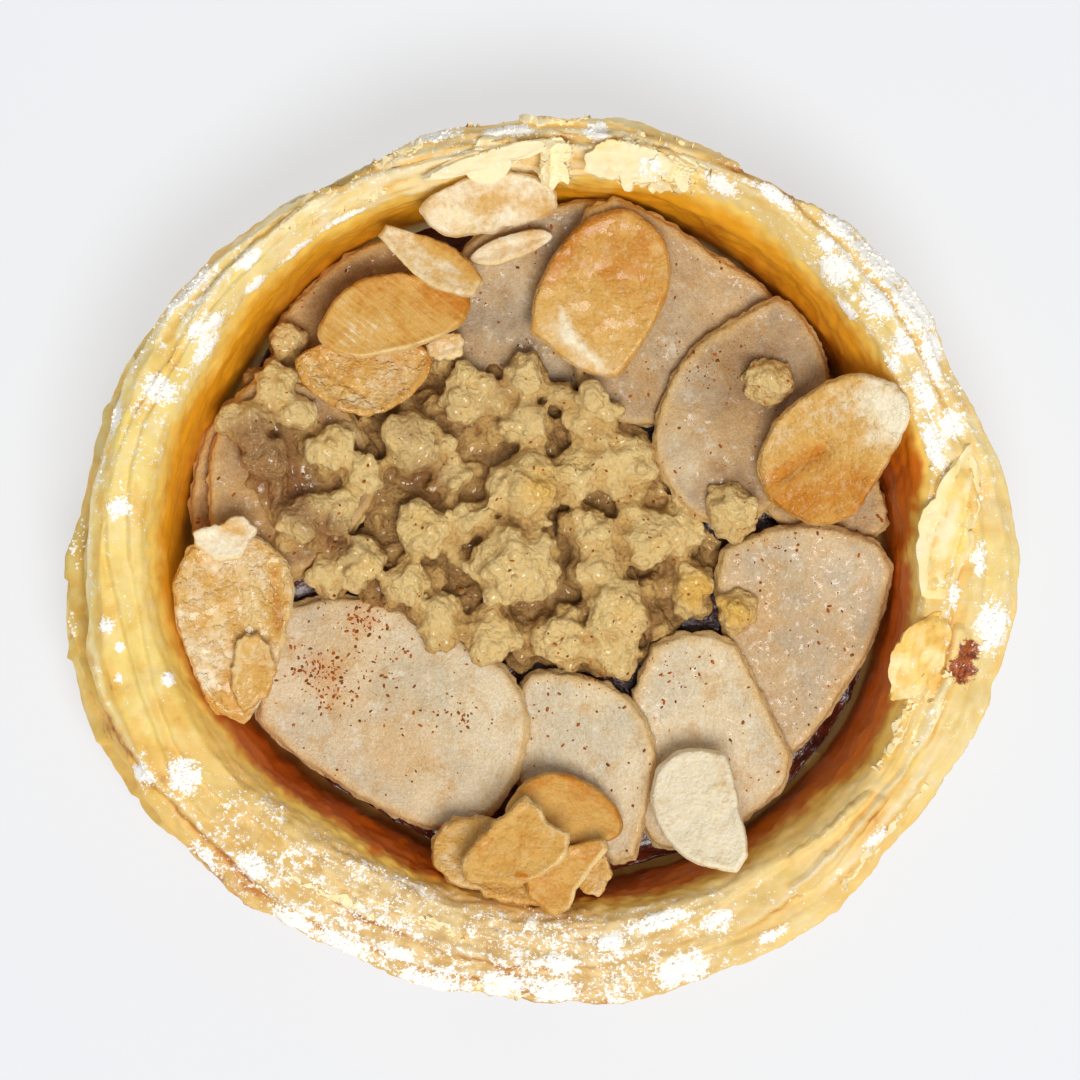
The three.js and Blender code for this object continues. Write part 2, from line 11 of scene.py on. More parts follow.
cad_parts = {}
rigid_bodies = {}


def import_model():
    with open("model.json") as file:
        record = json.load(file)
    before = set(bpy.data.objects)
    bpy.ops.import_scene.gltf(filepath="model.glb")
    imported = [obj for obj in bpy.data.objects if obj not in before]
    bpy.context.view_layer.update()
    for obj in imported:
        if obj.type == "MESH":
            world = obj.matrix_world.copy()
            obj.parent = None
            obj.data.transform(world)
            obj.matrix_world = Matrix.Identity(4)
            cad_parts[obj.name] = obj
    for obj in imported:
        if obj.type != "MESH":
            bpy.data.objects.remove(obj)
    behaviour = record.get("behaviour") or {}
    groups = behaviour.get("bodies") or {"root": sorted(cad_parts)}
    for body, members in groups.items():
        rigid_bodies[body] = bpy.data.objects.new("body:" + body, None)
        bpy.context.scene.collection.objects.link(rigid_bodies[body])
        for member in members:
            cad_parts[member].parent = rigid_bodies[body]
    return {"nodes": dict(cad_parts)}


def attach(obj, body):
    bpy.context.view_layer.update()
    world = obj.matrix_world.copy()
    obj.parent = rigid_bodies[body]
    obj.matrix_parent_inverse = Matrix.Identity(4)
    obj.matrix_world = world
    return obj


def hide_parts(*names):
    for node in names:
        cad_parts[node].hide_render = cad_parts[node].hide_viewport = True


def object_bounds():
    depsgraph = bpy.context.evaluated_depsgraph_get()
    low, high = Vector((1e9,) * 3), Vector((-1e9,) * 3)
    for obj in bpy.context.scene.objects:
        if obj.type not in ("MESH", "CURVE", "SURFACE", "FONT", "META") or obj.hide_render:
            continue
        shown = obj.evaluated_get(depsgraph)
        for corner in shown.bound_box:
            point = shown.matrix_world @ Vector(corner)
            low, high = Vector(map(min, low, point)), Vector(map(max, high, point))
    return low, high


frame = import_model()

CAD_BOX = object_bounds()
MM = 0.001
JOIN = 0.002 * MM
ABOVE = 60 * MM
DOWN = Vector((0, 0, -1))

bl_info = {
    "name": "Fruit tart with crumble",
    "version": (1, 0, 0),
    "blender": (4, 5, 0),
    "location": "View3D > Sidebar > Tart",
    "description": "Flaky pastry, fruit slices, almonds, crumble and icing sugar over the packed solids",
    "category": "Object",
}


def tint(red, green, blue):
    """A colour as linear light from its usual 0 to 255 numbers."""
    shares = [value / 255 for value in (red, green, blue)]
    linear = [s / 12.92 if s <= 0.04045 else ((s + 0.055) / 1.055) ** 2.4 for s in shares]
    return (*linear, 1.0)


def length_property(name, description, default):
    return bpy.props.FloatProperty(
        name=name, description=description, default=default * MM, min=0.0, unit="LENGTH", precision=5
    )


def colour_property(name, description, *rgb):
    return bpy.props.FloatVectorProperty(
        name=name, description=description, default=tint(*rgb), size=4, min=0.0, max=1.0, subtype="COLOR"
    )


class TartSizes(bpy.types.PropertyGroup):
    """Sizes of the fine relief on the baked pieces."""

    layer_pitch: length_property("Layer pitch", "Distance from one pastry layer to the next", 1.5)
    layer_step: length_property("Layer step", "Height of the torn step at a pastry layer", 0.6)
    leaf_thickness: length_property("Leaf thickness", "Thickness of a loose pastry leaf", 0.5)
    crumb_grain: length_property("Crumble grain", "Size of the grain on a crumble lump", 1.7)
    sugar_depth: length_property("Sugar depth", "Thickness of the icing sugar on the rim", 0.16)
    sugar_grain: length_property("Sugar grain", "Radius of a clump of icing sugar", 0.13)


class TartColours(bpy.types.PropertyGroup):
    """Colours of the baked pieces."""

    pastry_pale: colour_property("Pale pastry", "Inside of a torn pastry layer", 247, 229, 182)
    pastry_yellow: colour_property("Yellow pastry", "Buttery top of the rim", 243, 214, 122)
    pastry_gold: colour_property("Golden pastry", "Baked skin of the rim", 235, 184, 80)
    pastry_brown: colour_property("Brown pastry", "Darkest edges of the rim", 184, 116, 46)
    wall_lip: colour_property("Wall at the lip", "Inner wall close to the lip", 248, 208, 104)
    wall_mid: colour_property("Wall halfway", "Inner wall halfway down", 230, 158, 30)
    # Juice and painted shade: the inner wall's darkest colour, deep in the cup near the fruit
    wall_low_juice_and_shade: colour_property("Wall near the fruit", "Inner wall soaked with juice", 178, 92, 18)
    syrup: colour_property("Syrup", "Juice that ran down the wall", 192, 80, 8)
    filling: colour_property("Filling", "Dark cooked fruit", 92, 34, 16)
    slice_pale: colour_property("Pale slice", "Cooked slice of fruit", 234, 221, 194)
    slice_tan: colour_property("Tan slice", "Browned slice of fruit", 208, 166, 102)
    slice_edge: colour_property("Slice edge", "Cut edge of a slice", 226, 190, 124)
    spice: colour_property("Spice", "Ground spice on the slices", 196, 102, 28)
    almond_pale: colour_property("Pale almond", "Untoasted almond", 249, 240, 219)
    almond_gold: colour_property("Golden almond", "Toasted almond", 222, 176, 98)
    almond_brown: colour_property("Brown almond", "Darkest toasted almond", 204, 132, 40)
    # Pale crumble colour, also the painted light on the tops of the lumps
    crumble_pale: colour_property("Pale crumble", "Pale lumps", 255, 221, 152)
    crumble_gold: colour_property("Golden crumble", "Baked tops of the lumps", 255, 202, 98)
    crumble_stain: colour_property("Stained crumble", "Lumps soaked with juice", 154, 100, 54)
    sugar: colour_property("Icing sugar", "Icing sugar on the rim", 255, 251, 242)
    floor: colour_property("Floor", "Pale floor under the tart", 142, 144, 147)


def sizes():
    return bpy.context.scene.tart_sizes


def colours():
    return bpy.context.scene.tart_colours


# Finishes


class Socket:
    """A shader value that takes part in Python arithmetic; each operation adds one Math node."""

    def __init__(self, finish, link):
        self.finish = finish
        self.link = link

    def _math(self, operation, first, second):
        return self.finish.node("ShaderNodeMath", {"operation": operation}, {0: first, 1: second})

    def __add__(self, other):
        return self._math("ADD", self, other)

    def __radd__(self, other):
        return self._math("ADD", other, self)

    def __sub__(self, other):
        return self._math("SUBTRACT", self, other)

    def __rsub__(self, other):
        return self._math("SUBTRACT", other, self)

    def __mul__(self, other):
        return self._math("MULTIPLY", self, other)

    def __rmul__(self, other):
        return self._math("MULTIPLY", other, self)


class Finish:
    """A procedural material built from node calls."""

    def __init__(self, name, **constants):
        self.material = bpy.data.materials.new(name)
        self.material.use_nodes = True
        self.tree = self.material.node_tree
        self.shader = self.tree.nodes["Principled BSDF"]
        for key, value in constants.items():
            self.shader.inputs[key.replace("_", " ").title().replace("Ior", "IOR")].default_value = value

    def node(self, kind, settings=None, sockets=None, out=0):
        made = self.tree.nodes.new(kind)
        for key, value in (settings or {}).items():
            setattr(made, key, value)
        for key, value in (sockets or {}).items():
            if isinstance(value, Socket):
                self.tree.links.new(value.link, made.inputs[key])
            else:
                made.inputs[key].default_value = value
        return Socket(self, made.outputs[out])

    def paint(self, **links):
        for key, value in links.items():
            self.tree.links.new(value.link, self.shader.inputs[key.replace("_", " ").title()])
        return self.material

    def place(self, stretch=(1.0, 1.0, 1.0)):
        """Object coordinates in millimetres, shrunk or stretched along each axis."""
        spot = self.node("ShaderNodeTexCoord", out="Object")
        scale = tuple(share / MM for share in stretch)
        return self.node("ShaderNodeVectorMath", {"operation": "MULTIPLY"}, {0: spot, 1: scale})

    def worth(self, name):
        """A number kept on the piece's vertices."""
        return self.node("ShaderNodeAttribute", {"attribute_name": name}, out="Fac")

    def clouds(self, size, detail=3.0, rough=0.55, at=None):
        """Uneven values from 0 to 1; size is that of a patch in millimetres."""
        where = at or self.place()
        return self.node("ShaderNodeTexNoise", None, {
            "Vector": where, "Scale": 1.0 / size, "Detail": detail, "Roughness": rough
        })

    def fibres(self, size, detail, rough, stretch):
        """Clouds drawn out along the grain of a flat piece."""
        grain = self.node("ShaderNodeCombineXYZ", None, {
            "X": self.worth("along") * stretch, "Y": self.worth("across"), "Z": self.worth("seed")
        })
        return self.clouds(size, detail, rough, grain)

    def cells(self, size, out="Distance"):
        """Small cells: the distance from the middle of each, or a colour of its own."""
        return self.node("ShaderNodeTexVoronoi", None, {"Vector": self.place(), "Scale": 1.0 / size}, out)

    def rise(self, value, low, high):
        """0 below low, 1 above high and smooth between them."""
        return self.node("ShaderNodeMapRange", {"interpolation_type": "SMOOTHSTEP"}, {
            0: value, 1: low, 2: high, 3: 0.0, 4: 1.0
        })

    def blend(self, share, first, second, way="MIX"):
        return self.node("ShaderNodeMix", {"data_type": "RGBA", "blend_type": way}, {
            0: share, 6: first, 7: second
        }, 2)

    def relief(self, height, depth, strength):
        """A normal from a height whose full range is depth millimetres."""
        sockets = {"Height": height, "Strength": strength, "Distance": depth * MM}
        return self.node("ShaderNodeBump", None, sockets)


def pastry_finish(name):
    c = colours()
    f = Finish(name, emission_strength=0.4, specular_ior_level=0.3)
    spot = f.place((0.2, 0.2, 0.0))
    lane = f.node("ShaderNodeCombineXYZ", None, {"Z": f.worth("run")})
    lane = f.node("ShaderNodeVectorMath", {"operation": "ADD"}, {0: spot, 1: lane})
    streak = f.clouds(0.7, 3.0, 0.6, lane)
    broad = f.clouds(5.0, 3.0, 0.5)
    patches = f.clouds(2.2, 4.0, 0.6)
    fine = f.clouds(0.6, 4.0, 0.65)
    bake = f.worth("bake") + 0.9 * (broad - 0.5) + 1.1 * (patches - 0.5) + 0.25 * (streak - 0.5)
    cream = f.worth("cream") + 1.3 * (f.clouds(3.2, 4.0, 0.6) - 0.5) + 0.4 * (streak - 0.5)
    skin = f.blend(f.rise(cream, 0.0, 0.9), c.pastry_yellow, c.pastry_pale)
    skin = f.blend(f.rise(bake, 0.3, 0.85) * 0.85, skin, c.pastry_gold)
    beige = f.blend(f.rise(patches, 0.4, 0.6), tint(206, 166, 106), tint(236, 210, 158))
    skin = f.blend(f.worth("dull"), skin, beige)
    skin = f.blend(f.rise(bake, 0.8, 1.3), skin, c.pastry_brown)
    # Down the inner wall the colour goes from yellow at the lip to dark brown near the fruit: partly juice,
    # partly painted shade deep in the cup
    depth = f.worth("depth") + 1.2 * (broad - 0.5) + 0.5 * (patches - 0.5)
    wall = f.blend(f.rise(depth, 0.0, 1.8), c.wall_lip, c.wall_mid)
    wall = f.blend(f.rise(depth, 2.0, 5.0), wall, c.wall_low_juice_and_shade)
    wall = f.blend(f.worth("syrup") * f.rise(depth, 0.3, 1.6), wall, c.syrup)
    inside = f.worth("inside")
    skin = f.blend(inside, skin, wall)
    burnt = f.rise(f.worth("burnt") + 1.6 * (f.clouds(1.0, 4.0, 0.7) - 0.5), 0.55, 0.75)
    skin = f.blend(burnt, skin, f.blend(f.rise(fine, 0.35, 0.6), tint(104, 40, 8), tint(176, 88, 28)))
    sugar = f.worth("sugar")
    powder = f.rise(0.9 * sugar + 2.2 * (f.clouds(1.0, 6.0, 0.8) - 0.5), 0.44, 0.52)
    specks = f.rise(f.clouds(0.45, 3.0, 0.6) + 0.5 * sugar, 0.76, 0.82)
    sugared = 1.0 - (1.0 - powder) * (1.0 - specks)
    skin = f.blend(sugared, skin, c.sugar)
    # Painted glow: the skin gives off light of its own, standing in for light through the pastry and on
    # sugar in shade
    glow = f.blend(f.worth("glow") * (1.0 - sugared) + 0.18 * sugared, tint(0, 0, 0), skin)
    roughness = 0.52 - 0.15 * inside + 0.4 * sugared
    height = 0.2 * streak + 0.3 * fine + 0.2 * f.clouds(0.2, 2.0) + 0.3 * specks
    return f.paint(
        base_color=skin, roughness=roughness, emission_color=glow, normal=f.relief(height, 0.25, 0.5)
    )


def filling_finish():
    c = colours()
    f = Finish("dark fruit filling", coat_weight=0.4, coat_roughness=0.12)
    lumps = f.clouds(2.2, 4.0, 0.6)
    colour = f.blend(f.rise(lumps, 0.35, 0.7), c.filling, tint(58, 22, 14))
    colour = f.blend(f.rise(f.clouds(6.0), 0.5, 0.75), colour, tint(128, 56, 20))
    return f.paint(
        base_color=colour, roughness=0.12 + 0.3 * lumps, normal=f.relief(lumps, 1.0, 0.6)
    )


def slice_finish():
    c = colours()
    f = Finish("cooked fruit slice", coat_roughness=0.08)
    edge = f.worth("edge")
    patches = f.clouds(7.0, 4.0, 0.55)
    mottled = f.clouds(1.5, 4.0, 0.6)
    fibre = f.fibres(0.42, 3.0, 0.6, 0.3)
    felt = f.clouds(0.22, 2.0, 0.7)
    tan = f.worth("tan") + 0.6 * (patches - 0.5) + 0.35 * (mottled - 0.5) + 0.3 * (fibre - 0.5)
    colour = f.blend(f.rise(tan, 0.0, 0.95), c.slice_pale, c.slice_tan)
    grey = f.rise(f.clouds(8.0, 3.0) + 0.3 * (mottled - 0.5), 0.42, 0.64) * 0.75 * f.worth("grey")
    colour = f.blend(grey, colour, tint(198, 191, 174))
    honey = f.rise(f.clouds(2.6, 4.0, 0.65), 0.5, 0.68)
    colour = f.blend(honey * 0.5, colour, tint(206, 162, 94))
    pale = f.rise(f.clouds(1.9, 4.0, 0.7), 0.55, 0.7)
    colour = f.blend(pale * 0.75, colour, tint(236, 231, 216))
    colour = f.blend(f.worth("soak") * (0.4 + 1.2 * mottled), colour, tint(114, 74, 28))
    rim = 1.0 - f.rise(edge + 0.8 * (mottled - 0.5), 0.3, 1.9)
    colour = f.blend(rim * 0.7, colour, c.slice_edge)
    lip = 1.0 - f.rise(edge + 0.3 * (mottled - 0.5), 0.05, 0.35)
    colour = f.blend(lip * 0.5, colour, tint(240, 214, 160))
    shade = 0.55 * f.rise(felt, 0.3, 0.72) + 0.45 * f.rise(fibre, 0.3, 0.7)
    colour = f.blend(0.3, colour, f.blend(shade, tint(92, 84, 70), tint(255, 250, 236)), "SOFT_LIGHT")
    grain = f.rise(f.clouds(0.32, 3.0, 0.75), 0.3, 0.7)
    colour = f.blend(1.0, colour, f.blend(grain, tint(243, 226, 194), tint(255, 255, 255)), "MULTIPLY")
    smear = f.rise(f.worth("spice") + 0.9 * (f.clouds(1.1, 4.0, 0.65) - 0.5), 0.35, 0.9)
    colour = f.blend(smear * 0.5, colour, tint(208, 132, 46))
    wet = f.rise(f.clouds(0.6, 3.0), 0.56, 0.64)
    height = 0.3 * mottled + 0.25 * fibre + 0.3 * felt + 0.3 * f.clouds(0.5, 2.0)
    return f.paint(
        base_color=colour,
        roughness=0.5 - 0.2 * wet,
        coat_weight=0.35 * wet,
        normal=f.relief(height, 0.4, 0.9),
    )


def almond_finish():
    c = colours()
    f = Finish("toasted almond", coat_roughness=0.06, specular_ior_level=0.15)
    edge = f.worth("edge")
    stripe = f.worth("stripe")
    fibre = f.fibres(0.4, 2.0, 0.5, 0.1)
    patches = f.clouds(3.0, 4.0, 0.6)
    mottled = f.clouds(0.8, 4.0, 0.65)
    crinkle = f.clouds(0.42, 2.0, 0.5)
    toast = f.worth("toast") + 0.8 * (patches - 0.5) + stripe * 0.8 * (fibre - 0.5) + 0.6 * (mottled - 0.5)
    colour = f.blend(f.rise(toast, -0.05, 0.5), c.almond_pale, c.almond_gold)
    colour = f.blend(f.rise(toast, 0.5, 1.1), colour, c.almond_brown)
    outer = 1.0 - f.rise(edge + 0.3 * (mottled - 0.5), 0.1, 0.4)
    skin = outer * f.rise(patches + f.worth("skin"), 0.55, 0.8)
    colour = f.blend(skin * 0.7, colour, tint(184, 112, 38))
    cut = f.rise(f.worth("cut") + 0.7 * (mottled - 0.5), 0.25, 0.95)
    colour = f.blend(cut * 0.7, colour, tint(240, 214, 160))
    frost = f.worth("glaze") * f.rise(f.clouds(1.3, 4.0, 0.75), 0.52, 0.64)
    colour = f.blend(frost * 0.3, colour, tint(250, 240, 216))
    honey = f.rise(f.clouds(1.8, 4.0, 0.6), 0.5, 0.7)
    colour = f.blend(honey * f.rise(toast, 0.0, 0.5) * 0.5, colour, tint(204, 142, 54))
    fleck = f.rise(f.clouds(0.3, 3.0, 0.7), 0.3, 0.7)
    colour = f.blend(1.0, colour, f.blend(fleck, tint(250, 238, 206), tint(255, 255, 255)), "MULTIPLY")
    # Painted highlights: small pale glints, more on the glazed flakes
    painted_sparkle = f.rise(f.clouds(0.34, 2.0, 0.5), 0.62, 0.67) * (0.05 + 0.5 * f.worth("glaze") * f.worth("glaze"))
    colour = f.blend(painted_sparkle, colour, tint(252, 238, 208))
    glaze = f.worth("glaze") * f.rise(f.clouds(1.6, 3.0), 0.42, 0.56)
    height = stripe * 0.6 * fibre + 0.1 * mottled + (0.25 + 1.1 * glaze) * crinkle
    return f.paint(
        base_color=colour,
        roughness=0.5 - 0.1 * glaze,
        coat_weight=0.05 + 0.42 * glaze,
        normal=f.relief(height, 0.3, 0.9),
    )


def crumble_finish():
    c = colours()
    f = Finish("sandy crumble", coat_roughness=0.1)
    patches = f.clouds(3.6, 3.0)
    sandy = f.clouds(0.5, 4.0, 0.7)
    tall = f.worth("tall") + 0.5 * (sandy - 0.5) + 0.5 * (patches - 0.5) + 0.3 * (f.worth("nodule") - 0.5)
    # Painted shade: the colour darkens to a shaded brown in the hollows between lumps, and painted light
    # makes the tops paler
    colour = f.blend(f.rise(tall, -1.7, -0.6), tint(142, 98, 52), tint(224, 182, 112))
    colour = f.blend(f.rise(tall, -0.8, 0.25), colour, c.crumble_pale)
    gold = f.worth("gold") + 0.5 * (patches - 0.5) + 0.4 * (sandy - 0.5)
    colour = f.blend(f.rise(gold, 0.45, 1.3) * f.rise(tall, -0.5, 0.2), colour, c.crumble_gold)
    soaked = f.worth("soak") + 0.7 * (patches - 0.5) + 0.6 * (sandy - 0.5)
    colour = f.blend(f.rise(soaked, 0.3, 1.1) * 0.8, colour, c.crumble_stain)
    shade = f.blend(f.rise(sandy, 0.3, 0.7), tint(130, 116, 94), tint(255, 250, 232))
    colour = f.blend(0.3, colour, shade, "SOFT_LIGHT")
    each = f.cells(0.3, out="Color")
    colour = f.blend(0.45, colour, f.blend(each, tint(246, 230, 196), tint(255, 255, 255)), "MULTIPLY")
    speck = f.rise(f.clouds(0.4, 2.0), 0.72, 0.76)
    colour = f.blend(speck * 0.6, colour, tint(120, 84, 50))
    # Painted highlights: small pale glints on the tops of the lumps
    painted_sparkle = f.rise(f.clouds(0.3, 2.0), 0.63, 0.67) * f.rise(tall, -0.6, 0.3)
    colour = f.blend(painted_sparkle * 0.6, colour, tint(255, 240, 204))
    glint = f.rise(each, 0.62, 0.7)
    height = 1.2 * f.clouds(0.6, 5.0, 0.7) - 0.5 * f.cells(0.6)
    return f.paint(
        base_color=colour,
        roughness=0.6 - 0.3 * glint,
        coat_weight=0.7 * glint + 0.2 * f.worth("soak"),
        normal=f.relief(height, 0.5, 1.0),
    )


def spice_finish():
    c = colours()
    f = Finish("ground spice", roughness=0.8, specular_ior_level=0.1)
    fine = f.clouds(0.15, 2.0)
    colour = f.blend(f.worth("red"), tint(84, 42, 14), c.spice)
    colour = f.blend(fine * 0.4, colour, tint(200, 118, 44))
    return f.paint(base_color=colour, normal=f.relief(fine, 0.05, 0.5))


def sugar_finish():
    c = colours()
    # Painted glow: the sugar gives off a little light of its own, so that it stays white in shade
    f = Finish("icing sugar", roughness=0.9, emission_color=c.sugar, emission_strength=0.15)
    fine = f.clouds(0.25, 3.0, 0.7)
    colour = f.blend(f.rise(fine, 0.3, 0.7), tint(240, 236, 228), c.sugar)
    return f.paint(base_color=colour, normal=f.relief(fine, 0.1, 0.3))


def floor_finish():
    c = colours()
    f = Finish(
        "pale floor", roughness=0.8, emission_color=tint(203, 204, 206), emission_strength=1.0,
        specular_ior_level=0.1,
    )
    broad = f.clouds(90.0, 2.0)
    colour = f.blend(f.rise(broad, 0.3, 0.7), c.floor, tint(140, 142, 145))
    return f.paint(base_color=colour)


# Meshes


def cad_copy(name):
    """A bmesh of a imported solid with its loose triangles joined."""
    bm = bmesh.new()
    bm.from_mesh(frame["nodes"][name].data)
    bmesh.ops.remove_doubles(bm, verts=bm.verts, dist=JOIN)
    return bm


def settled(bm, *modifiers):
    """The mesh that modifiers make of a bmesh; each is a type with its settings."""
    draft = bpy.data.meshes.new("draft")
    bm.to_mesh(draft)
    bm.free()
    holder = bpy.data.objects.new("draft", draft)
    bpy.context.scene.collection.objects.link(holder)
    for kind, settings in modifiers:
        modifier = holder.modifiers.new(kind.lower(), kind)
        for key, value in settings.items():
            setattr(modifier, key, value)
    graph = bpy.context.evaluated_depsgraph_get()
    made = bpy.data.meshes.new_from_object(holder.evaluated_get(graph))
    bpy.data.objects.remove(holder)
    bpy.data.meshes.remove(draft)
    return made


def plain_mesh(bm):
    mesh = bpy.data.meshes.new("draft")
    bm.to_mesh(mesh)
    bm.free()
    return mesh


def points_of(mesh):
    """Vertex places in millimetres, one row each."""
    flat = np.empty(len(mesh.vertices) * 3)
    mesh.vertices.foreach_get("co", flat)
    return flat.reshape(-1, 3) / MM


def values_of(mesh, name):
    """Numbers kept on the vertices."""
    values = np.empty(len(mesh.vertices))
    mesh.attributes[name].data.foreach_get("value", values)
    return values


def normals_of(mesh):
    flat = np.empty(len(mesh.vertices) * 3)
    mesh.vertex_normals.foreach_get("vector", flat)
    return flat.reshape(-1, 3)


def put_points(mesh, points):
    """Moves the vertices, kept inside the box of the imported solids."""
    low, high = (np.array(corner) / MM for corner in CAD_BOX)
    mesh.vertices.foreach_set("co", (np.clip(points, low, high) * MM).ravel())
    mesh.update()


def mark(mesh, **numbers):
    """Keeps numbers on the vertices for the finish to read."""
    for name, values in numbers.items():
        layer = mesh.attributes.new(name, "FLOAT", "POINT")
        spread = np.broadcast_to(np.asarray(values, dtype=np.float32), len(mesh.vertices))
        layer.data.foreach_set("value", np.ascontiguousarray(spread))


def mottle(points, size, seed=0, octaves=3):
    """Soft uneven values of about -1 to 1 over places in millimetres; size is that of a patch."""
    shifted = points / size + np.array((seed * 17.3, seed * 9.1, seed * 5.7))
    return np.array([noise.fractal(place, 1.0, 2.0, octaves) for place in shifted.tolist()])


def ease(values, low, high):
    share = np.clip((values - low) / (high - low), 0.0, 1.0)
    return share * share * (3.0 - 2.0 * share)


def mound(points, x, y, radius):
    """1 at a place in plan, falling smoothly away over a radius."""
    return np.exp(-((points[:, 0] - x) ** 2 + (points[:, 1] - y) ** 2) / radius ** 2)


def mounds(points, spots):
    """The sum of some mounds; a spot has a place in plan, a radius and a share."""
    return sum(share * mound(points, x, y, radius) for x, y, radius, share in spots)


def by_bearing(table, bearings):
    """Values between the bearings of a table that goes once round, in degrees."""
    return np.interp(bearings, [row[0] for row in table], [row[1] for row in table], period=360.0)


def tree_of(*pieces):
    """A tree for ray casts on finished pieces."""
    bm = bmesh.new()
    for piece in pieces:
        bm.from_mesh(piece.data)
    tree = BVHTree.FromBMesh(bm)
    bm.free()
    return tree


def solid_tree(name):
    """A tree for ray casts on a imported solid."""
    bm = cad_copy(name)
    tree = BVHTree.FromBMesh(bm)
    bm.free()
    return tree


def look_down(tree, x, y):
    """Topmost place and its normal at a place in plan, or None for both where nothing lies there."""
    return tree.ray_cast(Vector((x * MM, y * MM, ABOVE)), DOWN)[:2]


def add_piece(name, mesh, finish, slot, *nodes):
    """Hands a finished mesh over as one piece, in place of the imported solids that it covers."""
    mesh.name = name
    mesh.materials.clear()
    mesh.materials.append(finish)
    mesh.shade_smooth()
    piece = bpy.data.objects.new(name, mesh)
    bpy.context.scene.collection.objects.link(piece)
    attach(piece, "root")
    if nodes:
        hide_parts(*nodes)
    return piece


def round_axes(rng, size, low, high, turn=Matrix.Identity(3)):
    """Axes of an uneven ball."""
    return [tuple(turn @ Vector(axis) * size * rng.uniform(low, high)) for axis in Matrix.Identity(3)]


def balls(frames, subdivisions):
    """One mesh of many small balls; a frame is the middle and the three axes of one."""
    bm = bmesh.new()
    bmesh.ops.create_icosphere(bm, subdivisions=subdivisions, radius=MM)
    base = plain_mesh(bm)
    shape = points_of(base) * MM
    corners = np.array([tuple(face.vertices) for face in base.polygons])
    bpy.data.meshes.remove(base)
    places = np.concatenate([shape @ np.array(axes) + np.array(place) for place, axes in frames])
    steps = np.arange(len(frames)).repeat(len(corners))[:, None] * len(shape)
    mesh = bpy.data.meshes.new("draft")
    mesh.from_pydata(places.tolist(), [], (np.tile(corners, (len(frames), 1)) + steps).tolist())
    return mesh


# Pastry


class Wall:
    """The pastry wall as a ring: a spot on its skin is a bearing and a station round its section.

    Stations 0 to 1 climb the outside, 1 to 2 cross the top inwards, 2 to 3 go down inside to the
    filling, 3 to 4 on to the floor and 4 to 5 back under the wall.
    """

    CORNERS = np.array(((5.5, -12.4), (5.5, 10.6), (-5.5, 10.6), (-5.5, -3.0), (-5.5, -12.4), (5.5, -12.4)))
    RUN = (0.0, 24.0, 35.0, 49.0, 58.0, 70.0)
    MIDDLE_HEIGHT = 12.5
    BEARINGS = np.arange(0.0, 360.0, 2.0)

    FAR = 80 * MM

    def __init__(self, tree):
        self.tree = tree
        self.middles = [self.middle_at(math.radians(bearing)) for bearing in self.BEARINGS]

    def middle_at(self, angle):
        out = Vector((math.cos(angle), math.sin(angle), 0.0))
        up = Vector((0.0, 0.0, self.MIDDLE_HEIGHT * MM))
        inner = self.tree.ray_cast(up, out)[0]
        outer = self.tree.ray_cast(up + self.FAR * out, -out)[0]
        return (inner.xy.length + outer.xy.length) / 2 / MM

    def spot(self, bearing, station):
        """Place and outward normal on the skin."""
        angle = math.radians(bearing)
        out = Vector((math.cos(angle), math.sin(angle), 0.0))
        middle = np.interp(bearing, self.BEARINGS, self.middles, period=360.0)
        begin = min(int(station), 4)
        aim = self.CORNERS[begin] + (station - begin) * (self.CORNERS[begin + 1] - self.CORNERS[begin])
        way = (out * aim[0] + Vector((0.0, 0.0, aim[1]))).normalized()
        start = out * middle * MM + Vector((0.0, 0.0, self.MIDDLE_HEIGHT * MM))
        place, normal = self.tree.ray_cast(start, way)[:2]
        if place is None:
            raise RuntimeError(f"No pastry at bearing {bearing:.0f}, station {station:.2f}")
        return place, normal if normal.dot(way) > 0 else -normal


RING_RADIUS = 44 * MM
RIM_TURNS = 72
TURN_CUTS = 9
STATION_STEPS = (30, 52, 26, 5, 7)
# Round the rim by bearing in degrees: the radius of the lip, then shares of what its name says
LIP = (
    (0, 40.3), (6, 41.2), (12, 43.2), (28, 42.9), (40, 42.6), (50, 43.1), (62, 43.6), (72, 42.6),
    (80, 41.6), (88, 41.2), (96, 42.4), (110, 41.8), (122, 42.4), (140, 42.3), (150, 41.4), (160, 42.2),
    (178, 42.1), (190, 41.6), (200, 40.8), (210, 39.4), (220, 38.6), (230, 37.4), (250, 37.1),
    (262, 37.4), (275, 38.2), (292, 39.5), (310, 39.8), (320, 40.6), (328, 42), (336, 42), (345, 41.2),
    (353, 41),
)
CREAM = (
    (0, 0.35), (20, 0.45), (45, 0.3), (70, 0.45), (90, 0.6), (110, 0.6), (135, 0.4), (155, 0.3),
    (185, 0.15), (220, 0.2), (245, 0.4), (275, 0.4), (300, 0.35), (320, 0.4), (342, 0.4),
)
BAKED = (
    (0, 0.34), (30, 0.36), (60, 0.42), (90, 0.4), (120, 0.28), (150, 0.26), (185, 0.28), (215, 0.58),
    (240, 0.6), (270, 0.68), (300, 0.52), (325, 0.36), (345, 0.36),
)
SYRUP = (
    (0, 0.9), (14, 0.8), (24, 0.2), (60, 0), (150, 0), (190, 0.2), (206, 0.9), (222, 0.95), (240, 0.92),
    (296, 0.8), (312, 0.75), (350, 0.95),
)
DULL = (
    (0, 0.15), (30, 0.2), (60, 0.3), (110, 0.2), (150, 0), (205, 0), (220, 0.4), (245, 0.75), (280, 0.75),
    (305, 0.35), (335, 0.2),
)
TUCKED = ((0, 1), (20, 1), (140, 1), (152, 0.1), (214, 0.1), (232, 0.8), (260, 1))
ROUGH = (
    (0, 0.4), (20, 0.5), (60, 0.3), (100, 0.2), (150, 0.2), (180, 0), (208, 0.1), (222, 0.8), (260, 1),
    (295, 0.7), (310, 0.2), (345, 0.3),
)
